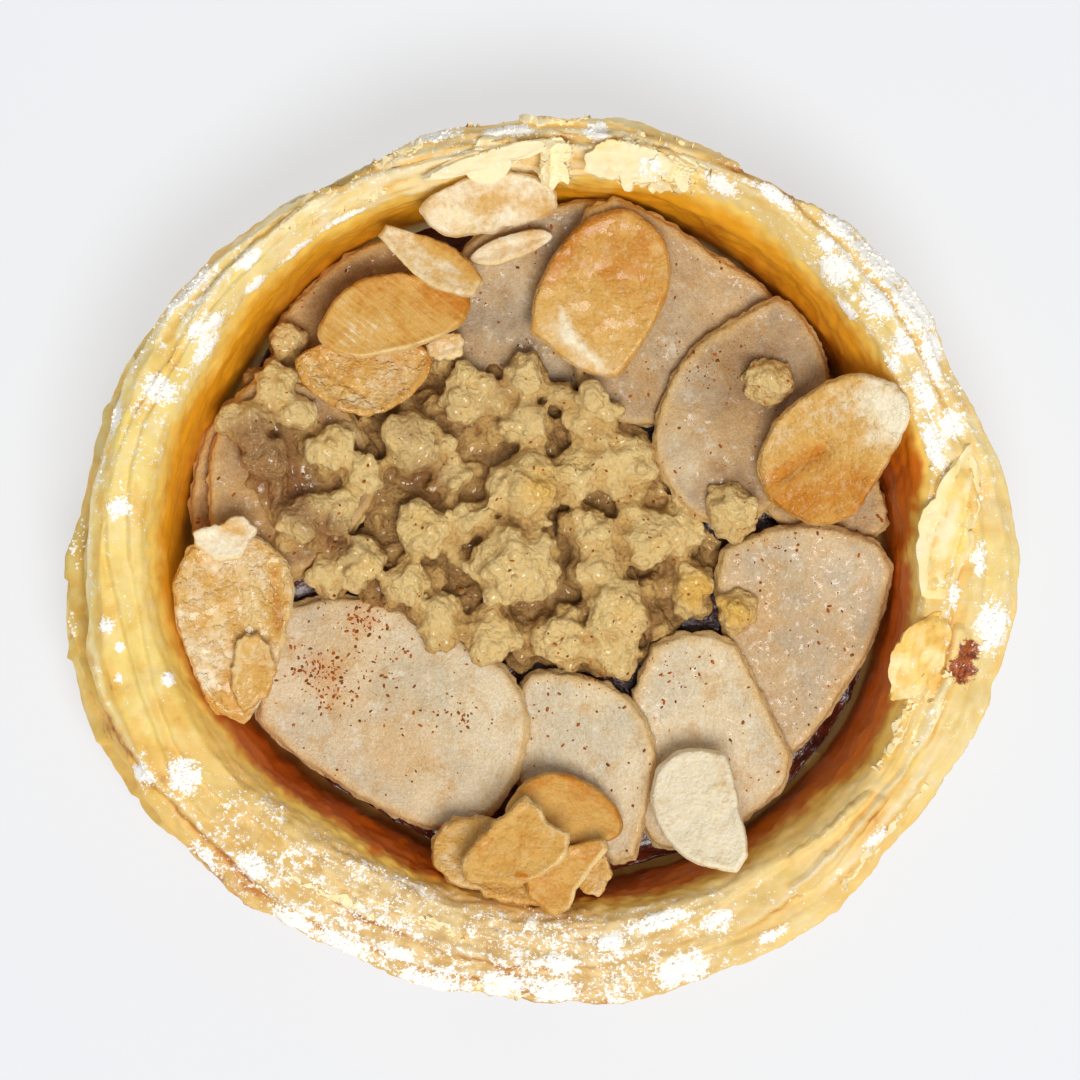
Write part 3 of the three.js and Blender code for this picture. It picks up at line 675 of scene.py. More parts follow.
LEAFY = (
    (0, 0.2), (20, 0.1), (56, 0.2), (68, 1), (112, 1), (150, 0.3), (165, 0), (215, 0), (235, 0.5),
    (280, 0.6), (300, 0.2), (330, 0.4), (350, 0.3),
)
# Painted glow of the inner wall by bearing: emission standing in for light through the pastry
PAINTED_GLOW = (
    (0, 0.1), (16, 0.1), (30, 0.15), (66, 0.12), (90, 0.05), (110, 0.1), (140, 0.2), (165, 0.3),
    (205, 0.3), (225, 0.1), (250, 0), (290, 0), (340, 0.05),
)
DUSTING = (
    (0, 0.24), (14, 0.28), (22, 0.36), (60, 0.25), (66, 0.24), (78, 0.16), (100, 0.22), (112, 0.18),
    (128, 0.22), (140, 0.26), (165, 0.32), (178, 0.2), (205, 0.14), (215, 0.28), (232, 0.36), (270, 0.38),
    (292, 0.34), (302, 0.18), (320, 0.1), (340, 0.14), (352, 0.24),
)
# Step of each fold in millimetres, then the bearings and radii that it runs along
FOLDS = (
    (1.5, ((148, 48.4), (165, 48.6), (180, 49), (196, 49.2), (206, 48.4), (214, 47.2), (224, 46.3),
           (236, 46))),
    (0.8, ((226, 47.4), (234, 46.2), (246, 45.4), (262, 45.7), (272, 46.4))),
    (0.6, ((70, 46.6), (85, 46.2), (95, 46), (105, 45.7), (114, 45.4))),
    (0.45, ((80, 44.6), (92, 44.9), (104, 44.4), (116, 44.3))),
    (0.55, ((108, 45), (120, 45.2), (135, 45.7), (152, 46.2))),
    (0.8, ((108, 46.9), (122, 46.8), (142, 47.3), (150, 47.9))),
    (0.5, ((296, 45.4), (315, 44.8), (330, 45.4), (346, 46.2))),
    (0.4, ((308, 47.2), (322, 46.8), (336, 47.6))),
    (0.7, ((340, 44), (355, 44.6), (365, 45.2), (376, 46.6))),
    (0.35, ((12, 45.8), (30, 46), (50, 46.5), (72, 46.3))),
    (0.45, ((232, 42.4), (250, 42.8), (265, 43.7), (282, 43.9), (302, 43.3))),
)
# Oval spots on the rim: bearing, radius and two half sizes
SUGAR_SPOTS = (
    (0, 47.2, 1.8, 0.7), (16, 44, 2.8, 1.2), (18, 46.6, 1.4, 1.6), (23.5, 44.7, 2.4, 0.8),
    (24, 49.4, 1.2, 1), (26, 47, 1.6, 0.8), (28.4, 47.8, 1.6, 1.3), (28.7, 43, 1.2, 0.8),
    (30.4, 45.2, 1.2, 1.3), (34, 48.4, 3.6, 1.6), (37, 45.3, 2.2, 1.4), (39, 42.2, 2, 0.9),
    (41, 48.6, 4, 1.6), (44, 44.5, 2.2, 1.5), (47.4, 45.4, 1.4, 0.8), (48, 48, 2.4, 1),
    (57, 46.4, 2.2, 0.8), (64, 44.6, 2.2, 0.8), (74, 43.5, 1.4, 1.4), (82.5, 46.2, 1.2, 1),
    (94, 46, 2.6, 0.6), (104, 47, 3.2, 0.8), (120, 42.2, 2.4, 0.4), (128, 42.2, 2.2, 0.4),
    (134, 44.7, 1.4, 0.6), (136, 42.3, 1.4, 0.6), (141, 47.6, 2.4, 0.7), (143.9, 43.1, 1.2, 0.7),
    (146.4, 44, 1.3, 0.9), (146, 48.2, 3.4, 0.9), (148, 42.3, 2.2, 0.8), (151, 48.6, 3, 1),
    (155, 49, 2.4, 1.1), (156, 44.6, 1.4, 2), (162, 48.6, 2, 1.2), (167.5, 49.2, 2.2, 1),
    (173, 45.4, 1.2, 1.2), (178, 50.4, 3.2, 1.1), (188, 51.6, 2.4, 0.7), (189, 47, 0.8, 0.7),
    (192, 46, 0.5, 0.5), (196, 46.8, 0.5, 0.5), (198, 42, 0.7, 0.6), (208.6, 48.4, 1.2, 0.8),
    (211.5, 44.6, 2, 1.8), (222, 48.4, 2.4, 1), (227, 45, 1.8, 1.3), (236, 47.2, 3, 1.1),
    (243, 46.6, 3.4, 1), (250, 45.2, 2, 0.8), (256, 47.2, 4.6, 1.2), (265, 46, 2.4, 1.6),
    (272, 46.4, 2.4, 1.4), (273, 43.6, 1.6, 1.4), (289, 46.7, 3.2, 1.7), (280, 41.8, 1.8, 0.8),
    (288, 41, 4, 0.9), (296, 43.4, 1.8, 1), (301.5, 47.6, 1.6, 0.7), (320, 47, 1.4, 0.5),
    (351.5, 49.2, 2.8, 1.8), (355, 44.6, 1.4, 0.6),
)
GOLD_SPOTS = (
    (119, 47.4, 6, 0.7), (130, 48.4, 5, 0.9), (138, 49.2, 4, 0.9), (196, 47.9, 12, 0.6),
    (212, 46.9, 8, 0.6), (176, 47.4, 8, 0.5), (190, 45.4, 2, 1.2), (182, 46.6, 1.4, 1.6),
    (205, 42.6, 2.6, 0.8), (152, 44.4, 2.4, 0.8), (225, 46.5, 5, 4), (203, 49.6, 9, 1.8),
    (186, 50.4, 6, 1.2), (172, 50.6, 4, 1), (320, 45.5, 2.5, 3.2), (342, 42.5, 6, 1.4), (5, 45, 8, 1.8),
    (330, 42.8, 8, 1.4), (265, 45.5, 7, 1.4), (245, 42.5, 3, 1.2), (30, 47, 3, 1.4), (13, 47.5, 5, 1.4),
    (62, 46.8, 8, 1), (78, 45.8, 5, 0.8), (92, 44.6, 6, 0.7), (105, 45.2, 8, 0.6), (152, 45.5, 7, 1.2),
    (178, 43, 6, 1), (243, 43.5, 1.6, 1.6), (208, 44.5, 2.4, 1.2),
)


BURNT_SPOTS = ((46, -9.9, 2), (45.1, -12, 2.3))


def spots_at(spots, bearings, reaches):
    """The strongest of some oval spots on the rim."""
    strongest = np.zeros(np.shape(bearings))
    for bearing, reach, long, wide in spots:
        along = np.radians((bearings - bearing + 180.0) % 360.0 - 180.0) * reach
        apart = (along / long) ** 2 + ((reaches - reach) / wide) ** 2
        strongest = np.maximum(strongest, np.exp(-0.55 * apart))
    return strongest


def plan_of(places):
    """Bearing in degrees and radius in millimetres of each place."""
    bearings = np.degrees(np.arctan2(places[:, 1], places[:, 0])) % 360.0
    return bearings, np.hypot(places[:, 0], places[:, 1])


def sugar_at(places):
    """How thickly the icing sugar lies, from 0 to about 1."""
    bearings, reaches = plan_of(places)
    flat = places * (1.0, 1.0, 0.0)
    patchy = by_bearing(DUSTING, bearings) + 0.16 * mottle(flat, 3.0, 6, 3)
    inside = ease(by_bearing(LIP, bearings) - reaches, 0.0, 0.6)
    return np.maximum(patchy, 0.8 * spots_at(SUGAR_SPOTS, bearings, reaches)) * (1.0 - inside)


def rim_mesh():
    """The baked wall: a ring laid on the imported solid."""
    around = sum(STATION_STEPS)
    bm = bmesh.new()
    bmesh.ops.create_circle(bm, segments=around, radius=4 * MM)
    bmesh.ops.rotate(bm, verts=bm.verts, cent=(0, 0, 0), matrix=Matrix.Rotation(math.pi / 2, 3, "X"))
    bmesh.ops.translate(bm, verts=bm.verts, vec=(RING_RADIUS, 0, 0))
    bmesh.ops.spin(
        bm, geom=bm.verts[:] + bm.edges[:], cent=(0, 0, 0), axis=(0, 0, 1), angle=2 * math.pi,
        steps=RIM_TURNS, use_merge=True,
    )
    ends = [(edge, *(vert.co for vert in edge.verts)) for edge in bm.edges]
    along = [edge for edge, a, b in ends if max(abs(a.z - b.z), abs(a.xy.length - b.xy.length)) < 1e-6]
    bmesh.ops.subdivide_edges(bm, edges=along, cuts=TURN_CUTS)
    bmesh.ops.recalc_face_normals(bm, faces=bm.faces)
    wall = Wall(solid_tree("pastry_shell"))
    marks = np.concatenate([[0], np.cumsum(STATION_STEPS)])
    ladder = np.interp(np.arange(around), marks, range(len(marks)))
    stations = []
    for vert in bm.verts:
        turn = math.degrees(math.atan2(vert.co.z, vert.co.xy.length - RING_RADIUS)) % 360.0
        station = ladder[round(turn / 360.0 * around) % around]
        bearing = math.degrees(math.atan2(vert.co.y, vert.co.x))
        vert.co = wall.spot(bearing, station)[0]
        stations.append(station)
    return plain_mesh(bm), np.array(stations)


SECTOR = 4.0
SECTORS = 90


def tuck(places, stations):
    """Lets the top of the rim reach out over the belly of the wall, save where the lower layer shows."""
    bearings, reaches = plan_of(places)
    sectors = (bearings // SECTOR).astype(int) % SECTORS
    widest = np.zeros((2, SECTORS))
    for row, part in zip(widest, (stations < 0.8, (stations > 1.0) & (stations < 1.4))):
        np.maximum.at(row, sectors[part], reaches[part])
    gap = np.maximum(widest[0] - widest[1] + 0.2, 0.0)
    middles = (np.arange(SECTORS) + 0.5) * SECTOR
    gap = np.interp(bearings, middles, gap, period=360.0) * by_bearing(TUCKED, bearings)
    top = ease(stations, 0.86, 1.02) * (1.0 - ease(stations, 1.1, 1.8))
    belly = (1.0 - ease(stations, 0.7, 0.86)) * ease(places[:, 2], 0.5, 4.0)
    move = gap * (0.72 * top - 0.35 * belly)
    return places + np.c_[places[:, :2] * (move / reaches)[:, None], np.zeros(len(places))]


def tear_layers(mesh, stations):
    """Relief and marks of the flaky rim."""
    s = sizes()
    put_points(mesh, tuck(points_of(mesh), stations))
    places = points_of(mesh)
    bearings, reaches = plan_of(places)
    flat = places * (1.0, 1.0, 0.0)
    run = np.interp(stations, range(6), Wall.RUN)
    streak = np.c_[places[:, :2] * 0.16, run]
    outside = 1.0 - ease(stations, 0.8, 1.05)
    wavy = 0.35 * mottle(flat * 0.5, 1.6, 1, 3)
    jagged = 0.3 * mottle(flat, 1.1, 11, 3)
    depth = by_bearing(LIP, bearings) + wavy + jagged - reaches
    inside = ease(depth, -0.05, 0.25) * ease(stations, 1.1, 1.4) * (1.0 - ease(stations, 3.0, 3.4))
    rough = by_bearing(ROUGH, bearings)
    lift = 0.34 * mottle(places, 6.5, 2) + (0.1 + 0.2 * rough) * mottle(places, 2.0, 3)
    lift += (0.04 + 0.12 * rough) * mottle(places, 0.9, 4, 2)
    fold = run / (s.layer_pitch / MM) + 1.2 * mottle(streak, 3.2, 1, 2)
    lift += outside * (s.layer_step / MM) * (0.5 - fold % 1.0)
    sugar = sugar_at(places) * (1.0 - ease(stations, 2.0, 2.3)) * ease(stations, 0.55, 0.9)
    sugar *= ease(normals_of(mesh)[:, 2], 0.1, 0.55)
    lift += (s.sugar_depth / MM) * ease(sugar + 0.2 * mottle(places, 1.2, 7, 3), 0.4, 0.7)
    top = ease(places[:, 2], 11.0, 20.0)
    drop = 0.4 * ease(depth, -0.1, 0.3) * (1.0 - ease(depth, 1.0, 3.0)) * ease(stations, 1.2, 1.5)
    leaves = (reaches + 0.5 * mottle(np.c_[flat[:, :2] * 0.4, reaches], 2.4, 12, 3)) / 1.15
    broken = ease(mottle(flat, 3.4, 13, 2), -0.35, 0.15) * by_bearing(LEAFY, bearings) * (1.0 - outside)
    edges = broken * np.exp(-((leaves % 1.0 - 0.9) / 0.12) ** 2)
    drop += 0.45 * broken * (leaves % 1.0) * (1.0 - inside)
    crests = np.zeros(len(places))
    for step, path in FOLDS:
        turn = (bearings - path[0][0]) % 360.0
        line = np.interp(turn, [row[0] - path[0][0] for row in path], [row[1] for row in path])
        span = path[-1][0] - path[0][0]
        there = ease(turn, 0.0, 5.0) * (1.0 - ease(turn, span - 6.0, span))
        past = reaches - line - wavy - 0.6 * jagged
        drop += step * there * ease(past, -0.1, 0.25) * (1.0 - inside)
        edges = np.maximum(edges, there * np.exp(-((past - 0.35) / 0.3) ** 2))
        crests = np.maximum(crests, there * np.exp(-((past + 0.35) / 0.35) ** 2))
    lift += 0.45 * np.exp(-((stations - 0.95) / 0.14) ** 2)
    # Painted light on steep faces: more golden, less dull and glowing, standing in for warm light bounced
    # into their shade
    painted_light_on_steep = 1.0 - ease(normals_of(mesh)[:, 2], 0.15, 0.85)
    shift = normals_of(mesh) * (lift * ease(places[:, 2], 0.2, 2.5))[:, None]
    shift[:, 2] -= drop * top
    put_points(mesh, places + shift)
    bake = by_bearing(BAKED, bearings) + 0.3 * spots_at(GOLD_SPOTS, bearings, reaches) + 0.4 * edges
    bake += 0.15 * painted_light_on_steep - 0.2 * crests
    burnt = np.max([mound(places, *spot) for spot in BURNT_SPOTS], axis=0)
    # Painted glow: emission on the inner wall, fading deep in the cup
    glow = inside * by_bearing(PAINTED_GLOW, bearings) * (1.0 - ease(depth, 2.0, 5.0))
    mark(
        mesh, run=run, bake=bake, inside=inside, depth=depth,
        cream=by_bearing(CREAM, bearings) + 0.4 * crests,
        dull=by_bearing(DULL, bearings) * (1.0 - 0.6 * painted_light_on_steep),
        syrup=by_bearing(SYRUP, bearings),
        sugar=sugar + 0.12 * crests * (1.0 - inside),
        burnt=burnt * (1.0 - outside),
        glow=glow + 0.45 * painted_light_on_steep * (1.0 - inside),
    )


BASE_RADIUS = 38.5 * MM
BASE_LOW = 0.2 * MM
BASE_DEPTH = 4.4 * MM
# Marks of the pastry that lies apart from the wall; its glow is a painted glow
PLAIN = {"inside": 0.0, "depth": 0.0, "syrup": 0.0, "glow": 0.25, "dull": 0.0}


class TART_OT_pastry(bpy.types.Operator):
    """Bake the pastry wall and its base"""

    bl_idname = "tart.pastry"
    bl_label = "Pastry"

    def execute(self, context):
        finish = pastry_finish("flaky pastry")
        mesh, stations = rim_mesh()
        tear_layers(mesh, stations)
        add_piece("pastry_rim", mesh, finish, "pastry", "pastry_shell")
        bm = bmesh.new()
        bmesh.ops.create_circle(bm, segments=96, radius=BASE_RADIUS, cap_ends=True)
        bmesh.ops.translate(bm, verts=bm.verts, vec=(0, 0, BASE_LOW))
        made = bmesh.ops.extrude_face_region(bm, geom=bm.faces[:])["geom"]
        upper = [each for each in made if isinstance(each, bmesh.types.BMVert)]
        bmesh.ops.translate(bm, verts=upper, vec=(0, 0, BASE_DEPTH))
        bmesh.ops.recalc_face_normals(bm, faces=bm.faces)
        base = plain_mesh(bm)
        mark(base, run=0.0, bake=0.6, cream=0.2, sugar=0.0, burnt=0.0, **PLAIN)
        add_piece("pastry_base", base, finish, "pastry")
        return {"FINISHED"}


RIM_RADIUS = 46.0
TOP_WIDTH = 11.0
SHARP_TURN = 0.8
FLAP_THICKNESS = 0.7 * MM
FLAP_FLOOR = 12 * MM
CREST_STEPS = np.linspace(0.0, 4.0, 14)
CREST_FALL = 0.35
# Bearings from and to, and how many leaves lie between them
LEAF_COUNTS = ((66, 112, 10), (112, 150, 3), (225, 300, 3), (300, 345, 4))
# Outline in plan, lift and raggedness of the edge, then how pale and how baked the flap is
FLAPS = (
    (((46.6, 12.8), (47.6, 11), (46.8, 7), (45.8, 3), (44.8, -1), (43.4, -4.6), (41, -4.2), (40.5, -1),
      (40.7, 2.4), (42.4, 6.4), (44.6, 10)), 0.5, 0.05, 0.7, 0.1),
    (((43.2, -5.6), (41, -6.6), (38.6, -9), (37.4, -11.2), (37.6, -13.6), (37.6, -15.4), (39.4, -15.2),
      (41.6, -13.2), (43.4, -10), (44.2, -7.4)), 0.25, 0.05, 0.4, 0.6),
    (((-13, 40.5), (-11, 41.9), (-7, 43.1), (-2, 44.6), (1.4, 45), (1.8, 44.4), (-3, 42.6), (-8, 41.1)),
     0.15, 0.05, 0.95, 0.05),
    (((4.6, 41.6), (5, 43.2), (7.4, 44.9), (10.6, 44.8), (13.2, 43.8), (13, 41.2), (11.2, 40.4), (9, 39.5),
      (8.6, 40.8), (6.6, 40.6)), 0.3, 0.3, 0.9, 0.1),
    (((0.3, 40.6), (0.9, 42.6), (0.2, 44.4), (2.4, 45.2), (3.6, 44.2), (2.6, 42.4), (3, 40.3), (1.6, 39.8)),
     0.3, 0.25, 0.9, 0.1),
    (((11.6, 42.6), (12.6, 43.6), (15.2, 43.2), (17, 42.6), (16.2, 40.8), (15.3, 39.4), (14.4, 40.6),
      (12.8, 40.6)), 0.3, 0.3, 0.8, 0.15),
)
# Folds along the flaps: from where to where and how wide
FLAP_LINES = (((46.4, 11), (42.3, 3), 0.7), ((42.3, 3), (42, -3.6), 0.7), ((45.6, 5.6), (43.6, -3.4), 0.8))


def leaf(bm, wall, rng, bearing, station, length, width, lift, way):
    """One torn pastry leaf that lies on the rim and peels up along one side."""
    made = bmesh.ops.create_grid(bm, x_segments=30, y_segments=7, size=1.0)["verts"]
    seed = rng.uniform(0, 100)
    skew = rng.uniform(-0.5, 0.5)
    for vert in made:
        along, across = vert.co.x, vert.co.y
        torn = noise.fractal((along * 2.6, seed, across * 0.6), 0.9, 2.0, 4)
        nick = noise.noise((along * 11.0, seed + 7.0, across))
        half = math.sqrt(max(0.0, 1.0 - abs(along) ** 2.6)) * (1.0 + 0.7 * torn + 0.06 * nick) + 0.02
        spot_bearing = bearing + math.degrees((along * length + skew * across * width) / 2 / RIM_RADIUS)
        reach = across * half * width / 2 + 0.5 * torn
        spot_station = min(max(station + reach / TOP_WIDTH, 0.35), 2.5)
        place, normal = wall.spot(spot_bearing, spot_station)
        peel = ((across * way + 1.0) / 2) ** 1.8
        rise = lift * peel * (0.75 + 0.5 * torn) - 0.05
        vert.co = place + normal * rise * MM


def flap(bm, tree, rng, outline, lift, ragged):
    """One loose flap with a drawn outline that lies over the lip."""
    corners = np.array(outline)
    middle = corners.mean(axis=0)
    away = corners - middle
    angles = np.degrees(np.arctan2(away[:, 1], away[:, 0])) % 360.0
    order = np.argsort(angles)
    reach = np.hypot(away[:, 0], away[:, 1])
    seed = rng.uniform(0, 100)
    made = bmesh.ops.create_grid(bm, x_segments=26, y_segments=26, size=1.0)["verts"]
    for vert in made:
        across, along = vert.co.x, vert.co.y
        square = max(abs(across), abs(along))
        angle = math.degrees(math.atan2(along, across)) % 360.0
        turn = math.radians(angle)
        far = np.interp(angle, angles[order], reach[order], period=360.0)
        torn = noise.fractal((math.cos(turn) * 2.0, math.sin(turn) * 2.0, seed), 1.0, 2.0, 3)
        far *= square * (0.97 + ragged * torn * square ** 2)
        spot = middle + far * np.array((math.cos(turn), math.sin(turn)))
        low = -1.0
        for reached in CREST_STEPS:
            place = look_down(tree, *spot * (1.0 + reached / np.hypot(*spot)))[0]
            if place:
                low = max(low, place.z / MM - CREST_FALL * reached)
        curl = lift * (square ** 3) * (0.5 + 0.9 * noise.noise((angle / 50.0, seed + 3.0, 0.0)))
        vert.co = Vector((*spot, low + 0.15 + curl)) * MM
    return made


class TART_OT_leaves(bpy.types.Operator):
    """Peel torn leaves of pastry off the rim"""

    bl_idname = "tart.leaves"
    bl_label = "Pastry leaves"

    def execute(self, context):
        rng = random.Random(5)
        wall = Wall(tree_of(bpy.data.objects["pastry_rim"]))
        bm = bmesh.new()
        for start, stop, count in LEAF_COUNTS:
            for _ in range(count):
                bearing = rng.uniform(start, stop)
                station = rng.choice((rng.uniform(0.85, 1.15), rng.uniform(1.0, 1.5), rng.uniform(1.3, 1.6)))
                leaf(
                    bm, wall, rng, bearing, station, rng.uniform(5.0, 14.0), rng.uniform(0.9, 2.2),
                    rng.uniform(0.05, 0.3), rng.choice((-1, 1)),
                )
        mesh = settled(bm, ("SOLIDIFY", {"thickness": sizes().leaf_thickness, "offset": -1.0}))
        self.finish(mesh, 0.8, 0.1)
        finish = pastry_finish("pastry leaf")
        add_piece("pastry_leaves", mesh, finish, "pastry")
        mesh.set_sharp_from_angle(angle=SHARP_TURN)
        tree = solid_tree("pastry_shell")
        bm = bmesh.new()
        tones = [bm.verts.layers.float.new(name) for name in ("pale", "baked")]
        for outline, lift, ragged, *shares in FLAPS:
            for vert in flap(bm, tree, rng, outline, lift, ragged):
                for layer, share in zip(tones, shares):
                    vert[layer] = share
        stray = [vert for vert in bm.verts if vert.co.z < FLAP_FLOOR]
        bmesh.ops.delete(bm, geom=stray, context="VERTS")
        mesh = settled(bm, ("SOLIDIFY", {"thickness": FLAP_THICKNESS, "offset": -1.0}))
        self.finish(mesh, *(values_of(mesh, name) for name in ("pale", "baked")))
        add_piece("pastry_flaps", mesh, finish, "pastry")
        mesh.set_sharp_from_angle(angle=SHARP_TURN)
        return {"FINISHED"}

    def finish(self, mesh, pale, baked):
        """Relief and marks of a thin torn leaf."""
        places = points_of(mesh)
        lines = np.max([dent(places, *line) for line in FLAP_LINES], axis=0)
        lift = 0.12 * mottle(places, 0.9, 8)
        torn = (plan_of(places)[1] + 0.6 * mottle(places * (0.5, 0.5, 0.0), 1.2, 12)) / 0.9 % 1.0
        sink = 0.2 * lines + 0.07 * torn
        bake = baked + 0.3 * mottle(places, 2.0, 9) + 0.3 * lines
        put_points(mesh, places + normals_of(mesh) * lift[:, None] - np.outer(sink, (0.0, 0.0, 1.0)))
        mark(
            mesh,
            run=plan_of(places)[1] * 0.9,
            bake=bake + 0.15 * np.exp(-((torn - 0.9) / 0.15) ** 2),
            cream=pale + 0.35 * mottle(places, 2.4, 10) - 0.3 * lines,
            sugar=np.maximum(sugar_at(places) * 0.8, 0.22),
            burnt=0.0,
            **PLAIN,
        )


# Filling and fruit


class TART_OT_filling(bpy.types.Operator):
    """Fill the pastry with dark cooked fruit"""

    bl_idname = "tart.filling"
    bl_label = "Filling"

    def execute(self, context):
        finer = ("SUBSURF", {"levels": 3, "render_levels": 3, "subdivision_type": "SIMPLE"})
        mesh = settled(cad_copy("fruit_filling"), finer)
        places = points_of(mesh)
        lift = 0.35 * mottle(places, 3.0, 1) + 0.12 * mottle(places, 0.9, 2)
        put_points(mesh, places + normals_of(mesh) * (lift - 0.3)[:, None])
        add_piece("filling", mesh, filling_finish(), "filling", "fruit_filling")
        return {"FINISHED"}


def silhouette(bm):
    """Outline edges of a flat piece in plan, in millimetres: the edges between its top and underside."""
    pairs = [
        [vert.co.xy / MM for vert in edge.verts]
        for edge in bm.edges
        if len(edge.link_faces) == 2 and edge.link_faces[0].normal.z * edge.link_faces[1].normal.z < 0
    ]
    return np.array(pairs)


def middle_of(pairs):
    return pairs.reshape(-1, 2).mean(axis=0)


def outward(places, pairs):
    """Ways in plan from the middle of an outline to each place."""
    away = places[:, :2] - middle_of(pairs)
    return away / np.maximum(np.hypot(away[:, 0], away[:, 1]), 0.1)[:, None]


def edge_distance(places, pairs):
    """Distance in plan from each place to the nearest outline edge."""
    nearest = np.full(len(places), 1e9)
    for start, stop in pairs:
        side = stop - start
        share = np.clip(((places[:, :2] - start) @ side) / max(side @ side, 1e-9), 0.0, 1.0)
        gap = places[:, :2] - start - share[:, None] * side
        nearest = np.minimum(nearest, np.hypot(gap[:, 0], gap[:, 1]))
    return nearest


def flat_piece(node, levels, crease, spread, rounded=False):
    """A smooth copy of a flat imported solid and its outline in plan; sharp corners stay, unless rounded."""
    bm = cad_copy(node)
    bmesh.ops.join_triangles(bm, faces=bm.faces, angle_face_threshold=0.9, angle_shape_threshold=1.2)
    bm.normal_update()
    pairs = silhouette(bm)
    middle = middle_of(pairs)
    crease_layer = bm.edges.layers.float.new("crease_edge")
    for edge in bm.edges:
        way = (edge.verts[0].co - edge.verts[1].co).normalized()
        upright = abs(way.z) > 0.6
        if len(edge.link_faces) == 2 and edge.calc_face_angle() > 0.5 and not (rounded and upright):
            edge[crease_layer] = crease
    corner_layer = bm.verts.layers.float.new("crease_vert")
    for vert in bm.verts:
        sharp = [edge for edge in vert.link_edges if edge[crease_layer] > 0]
        ways = [(edge.other_vert(vert).co - vert.co).normalized() for edge in sharp]
        if not rounded and len(ways) == 2 and ways[0].dot(ways[1]) > -0.72:
            vert[corner_layer] = crease
    for vert in bm.verts:
        vert.co.x += (vert.co.x - middle[0] * MM) * spread
        vert.co.y += (vert.co.y - middle[1] * MM) * spread
    mesh = settled(bm, ("SUBSURF", {"levels": levels, "render_levels": levels}))
    pairs = middle + (pairs - middle) * (1.0 + spread)
    return mesh, pairs


# How tan, how grey and how soaked each slice is
SLICES = {
    "left_under": (0.8, 0.1, 0.45),
    "left_over": (0.8, 0.1, 0.4),
    "top_left": (0.85, 0.1, 0.45),
    "top": (0.5, 0.7, 0.34),
    "top_right": (0.55, 0.5, 0.28),
    "right_under": (0.6, 0.2, 0.35),
    "right": (0.6, 0.7, 0.27),
    "right_low": (0.45, 0.8, 0.14),
    "bottom_right": (0.15, 0.7, 0.0),
    "bottom": (0.2, 0.7, 0.0),
    "bottom_left": (0.2, 0.7, 0.0),
}
# Spots in plan: place, radius and share
TAN_SPOTS = (
    (-6.5, -13.3, 6, -0.4), (-15, -18, 6, 0.4), (-22, -9, 5, 0.25), (33, -2.5, 5, -0.3),
    (27, -5, 5, 0.25), (19.5, 13.6, 6, 0.1), (14.6, 9.6, 4.5, -0.35), (-4, 27.4, 4.5, -0.15),
    (5.4, -18.7, 5, -0.15),
)
WET_SPOTS = (
    (24, 19, 4.5, 0.4), (18.5, 17.5, 3.5, 0.15), (20, 6.5, 4, 0.3), (15.6, 11.4, 4, -0.2),
    (-4, 27.4, 4.5, -0.08), (14, 29, 4.5, -0.1), (6, 21, 4, 0.15),
)
SPICE_HEAPS = (
    (-19.2, -6.5, 2.6, 0.75), (-24, -11.6, 3.2, 0.6), (-22.5, -15, 3.4, 0.4), (-16, -12, 5, 0.2),
    (-9, -17, 3, 0.25), (26, 2.5, 4, 0.15), (14, -12.5, 4, 0.2), (4, -13, 4, 0.25),
    (6.6, 24.6, 3.5, 0.14), (13, 22.5, 3.5, 0.14), (18.5, 20.5, 3.5, 0.2), (-7, 29, 3, 0.12),
    (26.5, 15.6, 2.5, 0.15),
)


SEED_STEP = 7.0


def fruit_slices():
    return [bpy.data.objects["slice_" + name] for name in SLICES]


def grain_of(places, pairs, slant):
    """Places along and across the long axis of a flat piece, turned by a slant in degrees."""
    middle = middle_of(pairs)
    axes = np.linalg.eigh(np.cov((pairs.reshape(-1, 2) - middle).T))[1]
    turn = math.radians(slant)
    axes = axes @ np.array(((math.cos(turn), -math.sin(turn)), (math.sin(turn), math.cos(turn))))
    local = (places[:, :2] - middle) @ axes
    return local[:, 1], local[:, 0]


class TART_OT_slices(bpy.types.Operator):
    """Lay the slices of fruit"""

    bl_idname = "tart.slices"
    bl_label = "Slices of fruit"

    def execute(self, context):
        finish = slice_finish()
        for seed, (name, (tan, grey, soak)) in enumerate(SLICES.items()):
            mesh, pairs = flat_piece("apple_slice_" + name, 3, 0.7, 0.02)
            places = points_of(mesh)
            edge = edge_distance(places, pairs)
            lift = 0.18 * mottle(places, 5.0, seed) + 0.08 * mottle(places, 1.3, seed + 20)
            lift += 0.14 * np.exp(-((edge - 0.9) / 0.6) ** 2)
            shift = normals_of(mesh) * lift[:, None]
            frayed = 0.32 * (1.0 - ease(edge, 0.1, 1.0)) * mottle(places, 1.1, seed + 30)
            shift[:, :2] += outward(places, pairs) * frayed[:, None]
            put_points(mesh, places + shift)
            along, across = grain_of(places, pairs, 0.0)
            wet = soak * (1.0 + 0.9 * mottle(places, 6.0, seed + 40)) + mounds(places, WET_SPOTS)
            mark(
                mesh, edge=edge, along=along, across=across, seed=seed * SEED_STEP, grey=grey,
                tan=tan + mounds(places, TAN_SPOTS),
                spice=mounds(places, SPICE_HEAPS),
                soak=np.clip(wet, 0.0, 0.9),
            )
            add_piece("slice_" + name, mesh, finish, "apple", "apple_slice_" + name)
        return {"FINISHED"}


